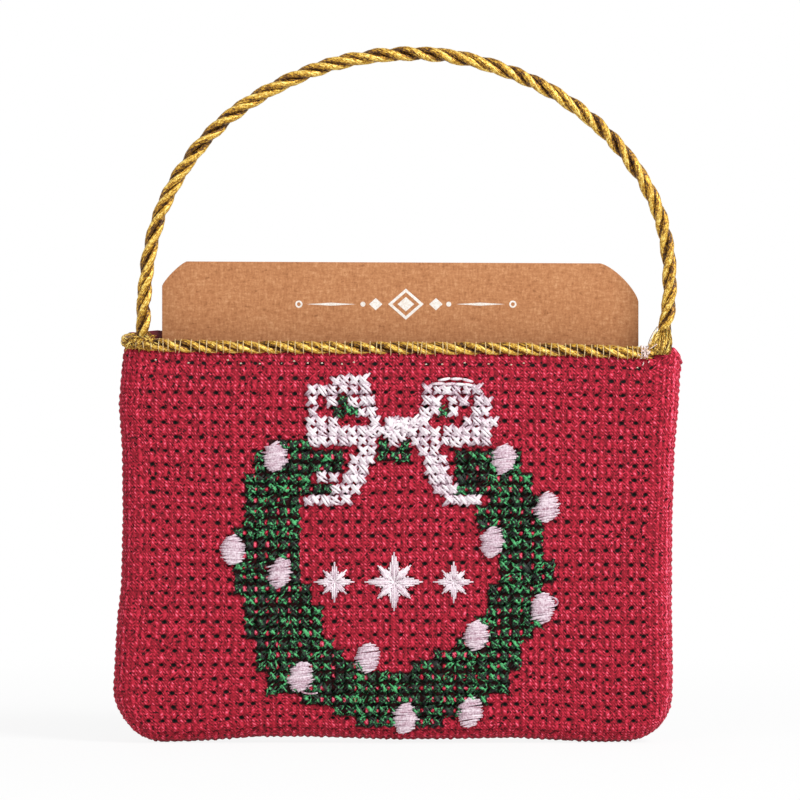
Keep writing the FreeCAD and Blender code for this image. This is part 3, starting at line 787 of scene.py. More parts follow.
outline_paths = []
part = np.linspace(0, 1, 5)
hump = np.sin(math.pi * part)
for from_u, from_v, to_u, to_v in OUTLINE_STITCHES:
    x = WREATH_X + from_u + (to_u - from_u) * part
    z = WREATH_Z + from_v + (to_v - from_v) * part
    outline_paths.append(thread_path(x, cloth_y(x, z) - 0.3 - 0.35 * hump, z, 0.85 + 0.4 * hump))
part = np.linspace(-1, 1, 5)
for number in range(KNOT_STITCHES):
    turn = math.radians(45 + 90 * (number % 2)) + 0.3 * stitch_chance.normal()
    middle_u = KNOT_U + KNOT_WIDE * (stitch_chance.random() - 0.5)
    middle_v = KNOT_V + KNOT_HIGH * (stitch_chance.random() - 0.5)
    x = WREATH_X + middle_u + KNOT_REACH * part * math.cos(turn)
    z = WREATH_Z + middle_v + KNOT_REACH * part * math.sin(turn)
    outline_paths.append(thread_path(x, cloth_y(x, z) - 0.35 - 0.4 * (1 - part**2), z, 1.25 - 0.4 * part**2))
outline = toned_threads(
    "bow_outline_floss", outline_paths, OUTLINE_RADIUS, 1, stitch_chance, tone=0.62, uneven=0.16
)
dressed(outline, white_floss, "pouch", "white_floss")

# Berries: plump ovals of white satin stitch, level threads laid side by side across each oval with ragged
# ends. They lie high over the leaves, and two have a loose loop of floss.
BERRY_THREAD = 0.17
BERRY_ROWS = 30
# The loose loops: where each one's middle is, its half width and height, and its first and last angle
LOOSE_LOOPS = ((27.6, 25.2, 0.9, 0.75, -110, 130), (-15.4, 9.4, 1.6, 0.5, 100, 320))
berry_chance = np.random.default_rng(41)
berry_paths = []
part = np.linspace(0, 1, 7)
hump = np.sin(math.pi * part) ** 0.6
for berry_x, berry_z in BERRIES:
    lean = berry_chance.normal(0, 0.05)
    for level in range(BERRY_ROWS):
        v = (level + 0.5) / BERRY_ROWS * 2 - 1
        half = BERRY_WIDE / 2 * math.sqrt(1 - abs(v) ** 2.3)
        left = -half * (1 + berry_chance.normal(0, 0.07)) + 0.2 * berry_chance.normal()
        right = half * (1 + berry_chance.normal(0, 0.07)) + 0.2 * berry_chance.normal()
        sag = berry_chance.normal(0, 0.07)
        slope = berry_chance.normal(0.4, 0.2)
        crown = 0.55 * math.sqrt(max(0.08, 1 - v * v)) + 0.08 * berry_chance.random()
        side = left + (right - left) * part
        x = berry_x + side
        z = berry_z + v * BERRY_HIGH / 2 + lean * side + sag * hump + slope * (part - 0.5)
        berry_paths.append(thread_path(x, cloth_y(x, z) - 0.35 - crown * hump, z, 0.75 + 0.3 * hump))
for loop_x, loop_z, wide, high, first, last in LOOSE_LOOPS:
    turn = np.radians(np.linspace(first, last, 12))
    y = cloth_y(loop_x, loop_z) - 0.45
    berry_paths.append(thread_path(loop_x + wide * np.cos(turn), y, loop_z + high * np.sin(turn)))
berries = toned_threads("berry_floss", berry_paths, BERRY_THREAD, 1, berry_chance, tone=0.34, uneven=0.08)
dressed(berries, white_floss, "pouch", "white_floss", "berry_stitches")

# Stars: a large one between two small ones in the middle of the wreath, a plain motif in satin stitch of
# white floss whose threads run along each point from the middle out.
# Each star: how far it is across from the wreath's middle, its reach, and the threads in each point
STARS = ((-10.6, 3.6, 5), (0.0, 5.2, 7), (10.6, 3.6, 5))
STAR_V = -2.7
STAR_WAIST = 0.5
STAR_THREAD = 0.17
star_paths = []
part = np.linspace(0, 1, 5)
hump = np.sin(math.pi * (0.15 + 0.85 * part))
for star_u, star_reach, count in STARS:
    for point in range(8):
        turn = math.radians(45 * point)
        reach_here = star_reach * (1.0 if point % 2 == 0 else 0.8)
        waist_along = reach_here * STAR_WAIST * math.cos(math.radians(22.5))
        waist_aside = reach_here * STAR_WAIST * math.sin(math.radians(22.5))
        for number in range(count):
            share = number / (count - 1) * 2 - 1
            aside = share * waist_aside * 0.92
            start = abs(share) * waist_along
            stop = reach_here - (reach_here - waist_along) * abs(share) ** 1.3 + 0.1 * berry_chance.normal()
            reach = start + (stop - start) * part
            x = WREATH_X + star_u + reach * math.cos(turn) - aside * math.sin(turn)
            z = WREATH_Z + STAR_V + reach * math.sin(turn) + aside * math.cos(turn)
            star_paths.append(thread_path(x, cloth_y(x, z) - 0.1 - 0.4 * hump, z, 1.1 - 0.25 * part))
stars = toned_threads("star_floss", star_paths, STAR_THREAD, 1, berry_chance, tone=0.55, uneven=0.14)
dressed(stars, white_floss, "pouch", "white_floss", "star_stitches")

# Back panel: plain red woven cotton, cut to the front's outline with an allowance of its own, and rolled
# forward to the side seam. Its top edge is turned in like the front's, a little higher up.
BACK_TOP = 71.2
BACK_FACE = 5.42
BACK_THICK = 0.6
BACK_ALLOWANCE = 1.0
BACK_FLAT = (-55.5, 55.5, -5.4, 74.6)
BACK_MOUTH = (
    (-49, -44, -41, -36, -20, 20, 34, 42, 49),
    (1.6, 2.1, 1.7, 0.5, 0.0, -0.2, -0.9, -1.7, -1.6),
)
back_panel = flat_cloth("back_cloth", *BACK_FLAT, 96, 70)
cut_corners(back_panel, seam_run + BACK_ALLOWANCE)
applied(back_panel, "SOLIDIFY", thickness=BACK_THICK * MM, offset=-1)
flat = read_places(back_panel)
outside = flat[:, 1] < BACK_THICK / 2
flat_x, flat_z = flat[:, 0], flat[:, 2]
set_map(back_panel, flat_x, flat_z)
over_top = np.maximum(flat_z - BACK_TOP, 0)
x, back, z, normal = rolled(flat_x, np.minimum(flat_z, BACK_TOP), FLAT_FACE, cloth_edge)
past = past_face(flat_x, flat_z, *FLAT_FACE)[0]
pucker = 0.1 * np.sin((flat_x - flat_z) / 1.1) * step_up(past, 0.5, 3)
pucker += 0.05 * np.sin(flat_x / 6) * np.sin(flat_z / 5)
place, facing = hemmed(x, back, z, normal, over_top)
place += facing * np.where(outside, np.minimum(pucker, 0.1) - 0.1, -BACK_THICK)[:, None]
place[:, 0], place[:, 2] = settled(place[:, 0], place[:, 2], BACK_MOUTH)
place[:, 1] = BACK_FACE - place[:, 1]
place[:, 2] = np.maximum(place[:, 2], FLOOR_GAP)
set_places(back_panel, place)


def turned_round(piece):
    """Turns the faces of a mirrored piece outwards again."""
    edited(piece, "FACE", lambda face: True, bpy.ops.mesh.flip_normals)


turned_round(back_panel)
smooth(back_panel)


def woven_material(name, dark, light, thread_pitch, roughness, sheen, bump_depth):
    """Plain weave: fine threads over and under on the piece's own map, with slubs and a soft mottle."""
    finish = Finish(bpy.data.materials.new(name))
    place = finish.lay()
    bands = []
    for direction in ("X", "Y"):
        wave = {"Vector": place, "Scale": 0.314 / thread_pitch, "Distortion": 0.6, "Detail": 1.0}
        bands.append(finish.add("TexWave", wave, bands_direction=direction).outputs["Fac"])
    weave = finish.worked("MULTIPLY", *bands)
    slub = finish.worked("SUBTRACT", finish.noise(place, 0.7, 4.0), 0.06)
    sockets = {
        "Normal": finish.relief(weave, strength=0.8, depth=bump_depth),
        "Roughness": roughness,
        "Specular IOR Level": 0.3,
        "Sheen Weight": sheen,
    }
    return finish.painted(finish.layered(slub, (weave, 0.7)), [(0.3, dark), (0.95, light)], sockets)


red_cotton = woven_material(
    "red_cotton",
    dark=(118, 22, 34),
    light=(186, 44, 62),
    thread_pitch=0.5,
    roughness=0.9,
    sheen=0.05,
    bump_depth=0.16,
)
dressed(back_panel, red_cotton, "pouch", "back_cloth", "back_panel")

# Lining: two halves of dark crimson satin. Each hangs from the mouth, where it spreads to the side seams,
# and narrows below into the pocket that takes the card.
LINING_THICK = 0.3
LINING_FOOT = -1.6
LINING_FOLD = 0.01
LINING_TURNED_IN = 4.0
LINING_MIDDLE = 0.45
LINING_GAP = 0.08
POCKET_HALF, POCKET_ROLL = 43.6, 0.9
MOUTH_HALF, MOUTH_ROLL = 48.5, 2.2
POCKET_FOOT = 4.2
POCKET_CORNER = 4.0
crimson_satin = woven_material(
    "crimson_satin",
    dark=(70, 6, 20),
    light=(112, 14, 34),
    thread_pitch=0.25,
    roughness=0.38,
    sheen=0.3,
    bump_depth=0.02,
)


def lining_half(name, side, face, top, mouth, node):
    """One half of the lining; side is -1 at the front and 1 at the back, and face is how far back it lies."""
    half = flat_cloth(name, -POUCH_HALF, POUCH_HALF, LINING_FOOT, top, 90, 60)
    applied(half, "SOLIDIFY", thickness=LINING_THICK * MM, offset=-1)
    flat = read_places(half)
    flat_x, flat_z = flat[:, 0], flat[:, 2]
    set_map(half, flat_x, flat_z)
    room = abs(LINING_MIDDLE - face) - LINING_GAP

    def drawn_in(half_width, roll):
        """The half rolled back at a width: its places and its outward normals."""
        edge = rolled_edge(roll, room, LINING_FOLD, LINING_TURNED_IN)
        x, back, z, normal = rolled(flat_x, flat_z, (half_width - roll, POCKET_FOOT, POCKET_CORNER), edge)
        return np.stack([x, back, z], axis=1), normal

    low, low_normal = drawn_in(POCKET_HALF, POCKET_ROLL)
    high, high_normal = drawn_in(MOUTH_HALF, MOUTH_ROLL)
    spread = step_up(flat_z, 60.5, 68.3)[:, None]
    inwards = np.where(flat[:, 1] < LINING_THICK / 2, 0, LINING_THICK)[:, None]
    place = low * (1 - spread) + high * spread
    place -= (low_normal * (1 - spread) + high_normal * spread) * inwards
    place[:, 1] += 0.12 * np.sin(flat_x / 5.5 + side) * step_up(flat_z, 20, 60)
    place[:, 0], place[:, 2] = settled(place[:, 0], place[:, 2], mouth)
    place[:, 1] = face - side * place[:, 1]
    set_places(half, place)
    if side > 0:
        turned_round(half)
    smooth(half)
    dressed(half, crimson_satin, "pouch", "lining_cloth", node)


lining_half("front_satin", side=-1, face=-3.12, top=68.4, mouth=FRONT_MOUTH, node="front_lining")
lining_half("back_satin", side=1, face=4.32, top=71.5, mouth=BACK_MOUTH, node="back_lining")

# Hem stitches: a row of tiny cream stitches just below the mouth, where the hem is sewn down through the
# cloth's holes. Most are lost in the cloth, and only their tops show.
HEM_LEVEL = 67.5
HEM_COLUMNS = range(5, 44)
HEM_THREAD = 0.12
hem_chance = np.random.default_rng(3)
hem_paths = []
for column in HEM_COLUMNS:
    x = FLAT_LEFT + column * CELL_WIDE + 0.5 * hem_chance.normal()
    length = 0.14 + 0.1 * hem_chance.random()
    level = HEM_LEVEL + float(np.interp(x, *FRONT_MOUTH)) + 0.2 * hem_chance.normal()
    y = cloth_y(x, level) + (0.4 if hem_chance.random() < 0.55 else 0.0)
    hem_paths.append(
        thread_path(
            x + length * np.array([-0.5, -0.25, 0.25, 0.5]),
            y + np.array([0.12, -0.06, -0.06, 0.12]),
            level + np.array([0, 0.04, 0.04, 0]),
        )
    )
hem = threads("hem_thread", hem_paths, HEM_THREAD, 1)


def thread_material(name, colour, shadow, roughness):
    """Sewing thread, or ink on board: an even colour with a fine, light mottle."""
    finish = Finish(bpy.data.materials.new(name))
    mottle = finish.noise(finish.place(), 4000, 2.0)
    return finish.painted(mottle, [(0.35, shadow), (0.6, colour)], {"Roughness": roughness})


cream_thread = thread_material("cream_thread", (240, 228, 206), shadow=(196, 174, 142), roughness=0.45)
dressed(hem, cream_thread, "pouch", "cream_thread", "hem_stitches")

# Trim cord: three strands of gold metallic yarn twisted into a rope. It lies along the hem and wraps
# round the left corner to the side seam; its right end is bound beside the handle.
TRIM_ROUTE = (
    (-47.6, 0.2, 71.9), (-48.3, -1.6, 71.8), (-48.2, -3.5, 71.5), (-46.6, -4.2, 71.2), (-42.0, -4.1, 70.85),
    (-35.3, -4.05, 70.6), (-26.0, -4.0, 70.5), (-17.4, -4.0, 70.45), (-8.0, -4.0, 70.4), (0.4, -4.0, 70.32),
    (9.0, -4.0, 70.28), (18.3, -4.0, 70.22), (29.0, -4.0, 70.05), (36.2, -4.0, 69.75), (43.3, -4.0, 69.45),
    (45.6, -4.0, 69.45),
)
TRIM_THICK = 2.3
TRIM_LAY = 11.6
STRANDS = 3
YARNS = 6
RING_POINTS = 18


def spline_line(route):
    """The smooth line of a NURBS spline along a cord's middle, as even points, and its length."""
    curve = bpy.data.curves.new("route", "CURVE")
    curve.dimensions = "3D"
    curve.resolution_u = 32
    spline = curve.splines.new("NURBS")
    spline.points.add(len(route) - 1)
    for point, (x, y, z) in zip(spline.points, route):
        point.co = (x * MM, y * MM, z * MM, 1)
    spline.order_u = 3
    spline.use_endpoint_u = True
    holder = bpy.data.objects.new("route", curve)
    line = bpy.data.meshes.new_from_object(holder)
    points = np.array([vertex.co[:] for vertex in line.vertices]) / MM
    bpy.data.objects.remove(holder)
    run = run_along(points)
    even = np.linspace(0, run[-1], int(run[-1] / 0.3) + 1)
    return np.stack([np.interp(even, run, points[:, side]) for side in range(3)], axis=1), run[-1]


def unit(ways):
    """Directions, each at a length of one."""
    return ways / np.linalg.norm(ways, axis=1)[:, None]


def rope(name, line, thick, lay, seed):
    """Twisted strands along a line of even points, each a bundle of fine yarns with tapered ends."""
    strand_radius = thick / 4
    tangent = unit(np.gradient(line, axis=0))
    aside = np.cross(tangent[0], [0.0, 1.0, 0.1])
    sides = []
    for way in tangent:
        aside = aside - way * aside.dot(way)
        aside = aside / np.linalg.norm(aside)
        sides.append(aside)
    sides = np.array(sides)
    others = np.cross(tangent, sides)
    run = run_along(line)
    ring_turns = np.linspace(0, 2 * math.pi, RING_POINTS, endpoint=False)
    count, around = len(line), len(ring_turns)
    # Painted shade and highlight: each strand is painted darker where it turns into the grooves between
    # strands, and lighter on one side as a glint.
    proud = step_up(np.cos(ring_turns), -0.05, 0.6)[None, :]
    glint = step_up(np.sin(0.1 - ring_turns), -0.6, 0.3)[None, :]
    yarn_turn = ring_turns[None, :] * YARNS - (2 * math.pi * run / (lay * 0.7))[:, None]
    ends = np.clip(np.minimum(run, run[-1] - run) / (strand_radius * 0.9), 0.25, 1) ** 0.5
    fuzz = np.random.default_rng(seed)
    all_places, all_faces, all_across = [], [], []
    for strand in range(STRANDS):
        wander = 0.25 * np.sin(run / 5.3 + 2.1 * strand) + 0.2 * np.sin(run / 2.9 + strand)
        turn = 2 * math.pi * (run / lay + strand / STRANDS) + wander
        outwards = sides * np.cos(turn)[:, None] + others * np.sin(turn)[:, None]
        middle = line + outwards * strand_radius
        along = unit(np.gradient(middle, axis=0))
        outwards = unit(outwards - along * np.sum(outwards * along, axis=1)[:, None])
        level = np.cross(along, outwards)
        radius = 1.02 + 0.04 * np.cos(yarn_turn) + fuzz.normal(0, 0.018, (count, around))
        radius = (strand_radius * ends[:, None] * radius)[:, :, None]
        ring = middle[:, None, :] + radius * (
            np.cos(ring_turns)[None, :, None] * outwards[:, None, :]
            + np.sin(ring_turns)[None, :, None] * level[:, None, :]
        )
        index = strand * count * around + np.arange(count * around).reshape(count, around)
        following = np.roll(index, -1, axis=1)
        quads = np.stack([index[:-1], following[:-1], following[1:], index[1:]], axis=-1)
        all_places.append(ring.reshape(-1, 3))
        all_faces += quads.reshape(-1, 4).tolist()
        all_faces += [index[0][::-1].tolist(), index[-1].tolist()]
        all_across.append(np.tile(ring_turns / (2 * math.pi), count) + strand * 0.37)
    piece = meshed(name, np.concatenate(all_places), all_faces)
    set_map(piece, np.concatenate(all_across), np.tile(np.repeat(run, around), STRANDS))
    # The painted groove shade and painted glint go into the tone here, with a faint pattern from the yarns'
    # twist.
    tone = 0.12 + proud * (0.27 + 0.29 * glint) + 0.05 * np.cos(yarn_turn)
    set_value(piece, "tone", np.tile(tone.reshape(-1), STRANDS))
    smooth(piece)
    return piece


def gold_material():
    """Gold metallic yarn: bright filaments along each strand, painted brown as shade in the grooves and
    painted bright as a glint on one side.
    """
    finish = Finish(bpy.data.materials.new("gold_yarn"))
    lengthwise = finish.grained(finish.lay(), (0.0, 0.0, 0.05), (20.0, 0.9, 1.0))
    filament = finish.noise(lengthwise, 1.0, 4.0, 0.75)
    grain = finish.noise(finish.place(), 2600, 2.0)
    tone = finish.worked("ADD", finish.held("tone"), finish.eased(filament, 0.32, 0.68, -0.36, 0.38))
    tone = finish.worked("ADD", tone, finish.eased(grain, 0.34, 0.66, -0.16, 0.16))
    shades = [
        (0.06, (50, 26, 4)),
        (0.26, (108, 66, 12)),
        (0.50, (180, 130, 30)),
        (0.72, (226, 178, 56)),
        (0.95, (255, 232, 138)),
    ]
    relief = finish.relief(filament, strength=0.8, depth=0.12)
    return finish.painted(tone, shades, {"Normal": relief, "Metallic": 0.45, "Roughness": 0.4})


gold_yarn = gold_material()
trim_line = spline_line(TRIM_ROUTE)[0]
trim = rope("trim_rope", trim_line, TRIM_THICK, TRIM_LAY, seed=7)
dressed(trim, gold_yarn, "pouch", "gold_cord", "trim_cord")

# Whip stitches: fine cream thread that goes over the trim cord and through the hem again and again,
# leaning a little one way and the other. At the right end several turns bind the cord in a small ragged knot.
WHIP_X = -46.4
WHIP_THREAD = 0.085
BINDING_X = 43.4
BINDING_TURNS = 4
BINDING_LOOPS = 26
BINDING_THREAD = 0.075
whip_chance = np.random.default_rng(17)


def over_trim(x, lean, grip, start, stop):
    """A thread from the cloth in front, over the trim cord, to the hem behind it."""
    spot = int(np.argmin(np.abs(trim_line[:, 0] - x) + 9 * (trim_line[:, 1] > -3)))
    y, z = trim_line[spot, 1:]
    part = np.linspace(0, 1, 11)
    turn = np.radians(start + (stop - start) * part)
    return thread_path(x + lean * (part - 0.3), y + grip * np.cos(turn), z + grip * np.sin(turn))


whip_paths = []
x = WHIP_X
while x < BINDING_X:
    path = over_trim(x, 0.3 * whip_chance.normal(), TRIM_THICK / 2 + 0.02, 226, -30)
    foot_z = path[0][2] - 0.15 - 0.4 * whip_chance.random()
    foot_x = path[0][0] + 0.1 * whip_chance.normal()
    whip_paths.append(np.vstack([[foot_x, cloth_y(x, foot_z) + 0.02, foot_z, 1.0], path]))
    x += 0.7 + 1.2 * whip_chance.random()
whip = threads("whip_thread", whip_paths, WHIP_THREAD, 0)
whip_material = thread_material("whip_thread", (238, 212, 158), shadow=(190, 156, 96), roughness=0.5)
dressed(whip, whip_material, "pouch", "cream_thread", "trim_whip_stitches")

binding_paths = []
for turn in range(BINDING_TURNS):
    x = BINDING_X + 0.36 * turn + 0.1 * whip_chance.normal()
    grip = TRIM_THICK / 2 + 0.05 + 0.12 * whip_chance.random()
    binding_paths.append(over_trim(x, 0.3 * whip_chance.normal(), grip, 235, -30))
part = np.array([0, 0.3, 0.7, 1])
proud = np.array([0, 1, 1, 0])
for loop in range(BINDING_LOOPS):
    from_x, from_z = 44.1 + 0.38 * whip_chance.normal(), 69.2 + 0.5 * whip_chance.normal()
    to_x, to_z = from_x + 0.4 * whip_chance.normal(), from_z + 0.5 * whip_chance.normal()
    rise = 0.2 + 0.2 * whip_chance.random()
    bulge = 0.2 * whip_chance.normal()
    x = from_x + (to_x - from_x) * part + bulge * proud
    binding_paths.append(thread_path(x, -5.0 - rise * proud, from_z + (to_z - from_z) * part))
end_binding = threads("end_binding_thread", binding_paths, BINDING_THREAD, 0)
binding_material = thread_material("binding_thread", (248, 234, 228), shadow=(220, 184, 172), roughness=0.5)
dressed(end_binding, binding_material, "pouch", "cream_thread", "trim_end_binding")

# Handle: the same gold rope, a little thicker, in one length. It comes up out of the mouth at the left,
# arches over and goes back in at the right, and both ends are sewn in below the hem.
HANDLE_Y = -1.45
HANDLE_THICK = 2.65
HANDLE_LAY = 12.6
HANDLE_ROUTE = (
    (-45.35, 65.0), (-45.35, 70.0), (-45.35, 74.5), (-45.2, 80.3), (-44.3, 88.3), (-41.6, 96.7),
    (-37.0, 104.7), (-30.4, 111.6), (-22.2, 117.0), (-12.8, 120.9), (-2.8, 122.9), (7.3, 122.9),
    (17.2, 120.9), (27.0, 116.7), (35.5, 110.8), (42.1, 103.4), (46.8, 95.1), (48.5, 86.8),
    (48.6, 79.5), (48.0, 74.5), (46.6, 70.0), (46.4, 65.0),
)
handle_line, handle_length = spline_line([(x, HANDLE_Y, z) for x, z in HANDLE_ROUTE])
handle = rope("handle_rope", handle_line, HANDLE_THICK, HANDLE_LAY, seed=8)
handle.data.materials.append(gold_yarn)
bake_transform(handle)
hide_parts("handle_cord", "handle_left_end", "handle_right_end")

# Frayed yarn: loose gold filaments at the handle's right foot, where the rope swells into a tuft over the
# hem, and round the trim cord's left end, where its strands open into a rough bunch at the corner.
FILAMENT = 0.1
FILAMENTS = 130
FILAMENT_POINTS = 6
fray_chance = np.random.default_rng(29)


def frayed(name, paths, tone, uneven):
    """Loose gold filaments, square in section, every one with its own tone and its own place on the map."""
    fray = toned_threads(name, paths, FILAMENT, 0, fray_chance, tone, uneven)
    order = np.arange(len(fray.data.vertices))
    set_map(fray, order % 4 / 4 + order // (4 * FILAMENT_POINTS) * 0.31, read_places(fray)[:, 2])
    return fray


tuft_paths = []
part = np.linspace(0, 1, FILAMENT_POINTS)
hump = np.sin(math.pi * part)
for number in range(FILAMENTS):
    share = fray_chance.random()
    from_x, from_z = 46.2 + 2.3 * share, 73.2 + 0.5 * fray_chance.normal()
    to_x, to_z = 44.7 + 3.3 * share + 0.2 * fray_chance.normal(), 69.1 + 0.4 * abs(fray_chance.normal())
    swell = -0.5 + 0.9 * share + 0.15 * fray_chance.normal()
    x = from_x + (to_x - from_x) * part + swell * hump
    z = from_z + (to_z - from_z) * part
    tuft_paths.append(thread_path(x, -2.6 - 2.2 * part - 0.5 * hump, z, 0.6 + 0.6 * part))
tuft = frayed("frayed_handle_foot", tuft_paths, tone=0.5, uneven=0.26)
tuft.data.materials.append(gold_yarn)
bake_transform(tuft)

fray_paths = []
part = np.linspace(-1, 1, FILAMENT_POINTS)
for number in range(FILAMENTS):
    middle_x = max(-47.9, -45.6 + 1.5 * fray_chance.normal())
    middle_z = 71.35 + 0.6 * fray_chance.normal()
    turn = fray_chance.choice([-0.7, -0.3, 0.5, 1.0]) + 0.25 * fray_chance.normal()
    half = 0.6 + 0.6 * fray_chance.random()
    x = middle_x + half * part * math.cos(turn)
    z = middle_z + half * part * math.sin(turn)
    bow_out = np.sqrt(np.maximum(0.02, 1.5 - 0.6 * (z - 71.3) ** 2))
    fray_paths.append(thread_path(x, -4.0 - bow_out * (1 - 0.2 * part**2), z, 1.1 - 0.5 * part**2))
trim_fray = frayed("frayed_trim_end", fray_paths, tone=0.42, uneven=0.22)
dressed(trim_fray, gold_yarn, "pouch", "gold_cord")

# Sewn ends: fine thread inside the pouch. Cream thread binds the handle's two ends where they are sewn in,
# and red thread runs along the side and bottom seam.
for node, material in (
    ("seam_thread", thread_material("red_thread", (150, 34, 48), shadow=(96, 18, 28), roughness=0.6)),
    ("handle_left_binding", cream_thread),
    ("handle_right_binding", cream_thread),
):
    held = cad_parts[node]
    held.data.materials.clear()
    held.data.materials.append(material)

# Gift card: uncoated kraft board, die-cut with cut-off round corners at the top. It stands loose in the
# pocket, a little to the right of the middle.
CARD_FOOT = 3.6
CARD_LEFT_TOP = 86.0
CARD_RIGHT_TOP = 85.6
CARD_HALF = 42.75
CARD_X = 0.5
CARD_FRONT = 3.2
CARD_THICK = 0.5
bpy.ops.object.select_all(action="DESELECT")
bpy.ops.mesh.primitive_cube_add(size=1)
card = bpy.context.object
card.name = "kraft_card"
card.scale = (2 * CARD_HALF * MM, CARD_THICK * MM, (CARD_LEFT_TOP - CARD_FOOT) * MM)
card.location = (CARD_X * MM, (CARD_FRONT + CARD_THICK / 2) * MM, (CARD_FOOT + CARD_LEFT_TOP) / 2 * MM)
bpy.ops.object.transform_apply(location=True, rotation=True, scale=True)


def round_corner(right, upper, radius, profile):
    """Rounds one corner of the card."""
    side = CARD_X + CARD_HALF if right else CARD_X - CARD_HALF
    level = CARD_LEFT_TOP if upper else CARD_FOOT

    def at_corner(edge):
        first, second = (card.data.vertices[corner].co / MM for corner in edge.vertices)
        through = abs(first.y - second.y) > CARD_THICK / 2
        return through and abs(first.x - side) < 0.01 and abs(first.z - level) < 0.01

    rounding = {"offset": radius * MM, "segments": 12, "profile": profile, "affect": "EDGES"}
    edited(card, "EDGE", at_corner, bpy.ops.mesh.bevel, **rounding)


round_corner(right=False, upper=True, radius=4.4, profile=0.32)
round_corner(right=True, upper=True, radius=6.8, profile=0.36)
round_corner(right=False, upper=False, radius=3.0, profile=0.5)
round_corner(right=True, upper=False, radius=3.0, profile=0.5)
applied(card, "BEVEL", width=0.06 * MM, segments=2, limit_method="ANGLE", angle_limit=math.radians(60))
place = read_places(card)
slope = (CARD_RIGHT_TOP - CARD_LEFT_TOP) * (place[:, 0] + CARD_HALF) / (2 * CARD_HALF)
place[:, 2] += slope * step_up(place[:, 2], 60, 75)
set_places(card, place)


def kraft_material():
    """Kraft board: warm brown with fine pale and dark fibres, and a few darker flecks."""
    finish = Finish(bpy.data.materials.new("kraft_board"))
    place = finish.place()

    def fibres(scale, stretch, turn, detail):
        return finish.noise(finish.grained(place, (0.0, turn, 0.0), stretch), scale, detail)

    tone = finish.layered(
        -0.02,
        (fibres(90, (1, 1, 1), 0.0, 3.0), 0.12),
        (fibres(3600, (1, 1, 1), 0.0, 2.0), 0.34),
        (fibres(2600, (0.3, 1, 1), 0.6, 2.0), 0.34),
        (fibres(2600, (1, 1, 0.3), -0.9, 2.0), 0.34),
        (finish.eased(fibres(1500, (0.5, 1, 1), 0.8, 1.0), 0.7, 0.76), -0.12),
    )
    shades = [
        (0.34, (150, 98, 64)),
        (0.46, (178, 119, 78)),
        (0.58, (192, 133, 90)),
        (0.72, (210, 156, 112)),
    ]
    relief = finish.relief(tone, strength=0.25, depth=0.04)
    return finish.painted(tone, shades, {"Normal": relief, "Roughness": 0.85, "Specular IOR Level": 0.2})


dressed(card, kraft_material(), "card", "kraft_board", "gift_card")

# Print on the card: a plain ornament in white ink across the card's upper part. A framed diamond stands
# in the middle, with small diamonds, dots, rules and rings on both sides.
PRINT_X = 1.5
PRINT_Z = 78.3
INK_THICK = 0.02
DIAMOND = 4
ROUND = 20
printed = []


def ink_shape(corners, x, wide, high, frame_width=0.0):
    """A flat printed shape; with a frame width, only its rim is printed."""
    bpy.ops.object.select_all(action="DESELECT")
    bpy.ops.mesh.primitive_circle_add(vertices=corners, radius=0.5, fill_type="NGON")
    shape = bpy.context.object
    shape.rotation_euler = (math.radians(90), 0, 0)
    shape.scale = (wide * MM, high * MM, 1)
    shape.location = (x * MM, (CARD_FRONT - INK_THICK / 2) * MM, PRINT_Z * MM)
    bpy.ops.object.transform_apply(location=True, rotation=True, scale=True)
    if frame_width:
        bpy.ops.object.mode_set(mode="EDIT")
        bpy.ops.mesh.select_all(action="SELECT")
        bpy.ops.mesh.inset(thickness=frame_width * MM)
        bpy.ops.mesh.delete(type="FACE")
        bpy.ops.object.mode_set(mode="OBJECT")
    applied(shape, "SOLIDIFY", thickness=INK_THICK * MM, offset=0)
    printed.append(shape)


ink_shape(DIAMOND, PRINT_X, wide=6.4, high=5.6, frame_width=0.5)
ink_shape(DIAMOND, PRINT_X, wide=3.0, high=2.6)
for way in (-1, 1):
    ink_shape(DIAMOND, PRINT_X + way * 5.4, wide=2.4, high=2.2)
    ink_shape(ROUND, PRINT_X + way * 7.7, wide=0.9, high=0.9)
    ink_shape(DIAMOND, PRINT_X + way * 13.4, wide=8.8, high=0.55)
    ink_shape(ROUND, PRINT_X + way * 19.2, wide=1.3, high=1.3, frame_width=0.3)
only(printed[0])
for shape in printed:
    shape.select_set(True)
bpy.ops.object.join()
ink = bpy.context.object
ink.name = "card_ornament_ink"
white_ink = thread_material("white_ink", (246, 242, 236), shadow=(228, 216, 202), roughness=0.6)
dressed(ink, white_ink, "card", "kraft_board")

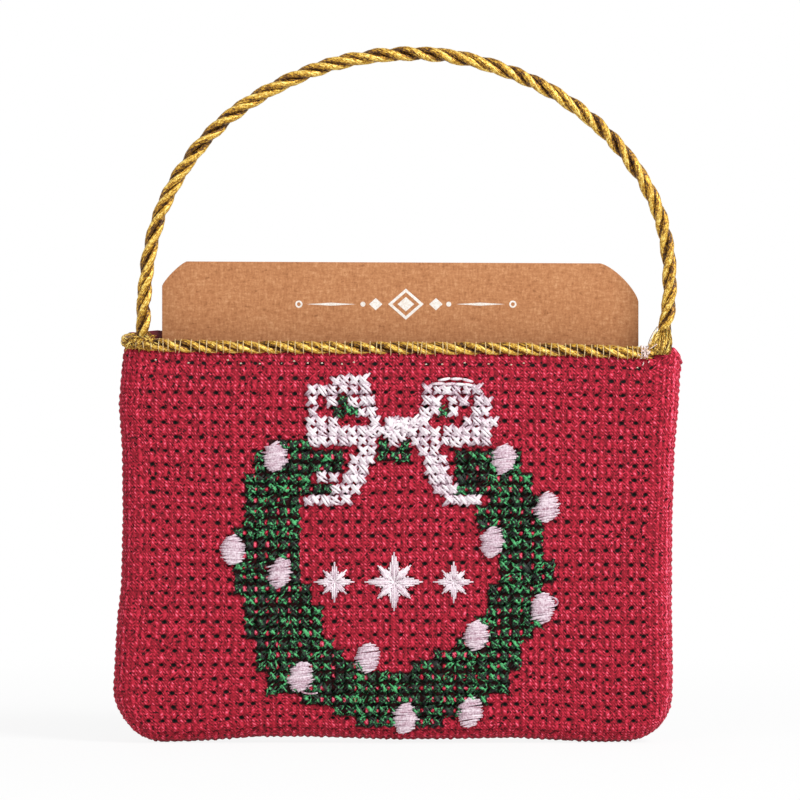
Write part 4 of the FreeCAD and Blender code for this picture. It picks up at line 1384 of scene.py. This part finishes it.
# Studio: a white floor and room, soft light from the right above and a weaker fill, and a long lens square
# to the front. The floor is white where it is seen, and dims only under and beside the pouch.
WHITE = (1, 1, 1, 1)
LAMP_AIM = (0, 0, 0.05)
bpy.ops.object.select_all(action="DESELECT")
bpy.ops.mesh.primitive_grid_add(x_subdivisions=2, y_subdivisions=2, size=6)
floor = bpy.context.object
floor.name = "studio_floor"
floor_paint = Finish(bpy.data.materials.new("white_floor"))
matt = floor_paint.tree.nodes["Principled BSDF"]
floor_paint.feed(matt, {"Base Color": (0.9, 0.9, 0.9, 1), "Roughness": 0.9})
glow = floor_paint.add("Emission", {"Color": WHITE})
seen = floor_paint.add("LightPath").outputs
far_off = floor_paint.add("VectorMath", {0: floor_paint.place()}, operation="LENGTH").outputs["Value"]
either = floor_paint.worked("MAXIMUM", seen["Is Camera Ray"], seen["Is Glossy Ray"])
share = floor_paint.worked("MULTIPLY", either, floor_paint.eased(far_off, 0.05, 0.3, 0.88, 1.0))
mixed = floor_paint.add("MixShader", {"Fac": share, 1: matt.outputs[0], 2: glow.outputs[0]})
floor_paint.feed(floor_paint.tree.nodes["Material Output"], {"Surface": mixed.outputs[0]})
floor.data.materials.append(floor_paint.owner)

room = Finish(bpy.data.worlds.new("white_room"))
bpy.context.scene.world = room.owner
light = room.tree.nodes["Background"]
room.feed(light, {"Color": WHITE, "Strength": 0.40})
backdrop = room.add("Background", {"Color": WHITE})
seen = room.add("LightPath").outputs
either = room.worked("MAXIMUM", seen["Is Camera Ray"], seen["Is Transmission Ray"])
share = room.worked("MAXIMUM", either, seen["Is Glossy Ray"])
mixed = room.add("MixShader", {"Fac": share, 1: light.outputs[0], 2: backdrop.outputs[0]})
room.feed(room.tree.nodes["World Output"], {"Surface": mixed.outputs[0]})


def lamp(name, place, size, power):
    """A soft square lamp that points at the object."""
    light = bpy.data.lights.new(name, "AREA")
    light.size = size
    light.energy = power
    holder = linked(name, light)
    holder.location = place
    way = np.array(LAMP_AIM) - np.array(place)
    tilt = math.atan2(math.hypot(way[0], way[1]), -way[2])
    holder.rotation_euler = (tilt, 0, math.atan2(way[1], way[0]) - math.pi / 2)


lamp("key", (0.6, -0.55, 0.7), size=0.35, power=9.0)
lamp("fill", (-0.6, -0.7, 0.3), size=0.6, power=1.7)

camera = bpy.data.cameras.new("camera")
camera.sensor_width = 36
camera.lens = 201.4
holder = linked("camera", camera)
holder.location = (0.00045, -0.8, 0.0611)
holder.rotation_euler = (math.radians(90), 0, 0)
bpy.context.scene.camera = holder
bpy.context.scene.view_settings.view_transform = "Standard"
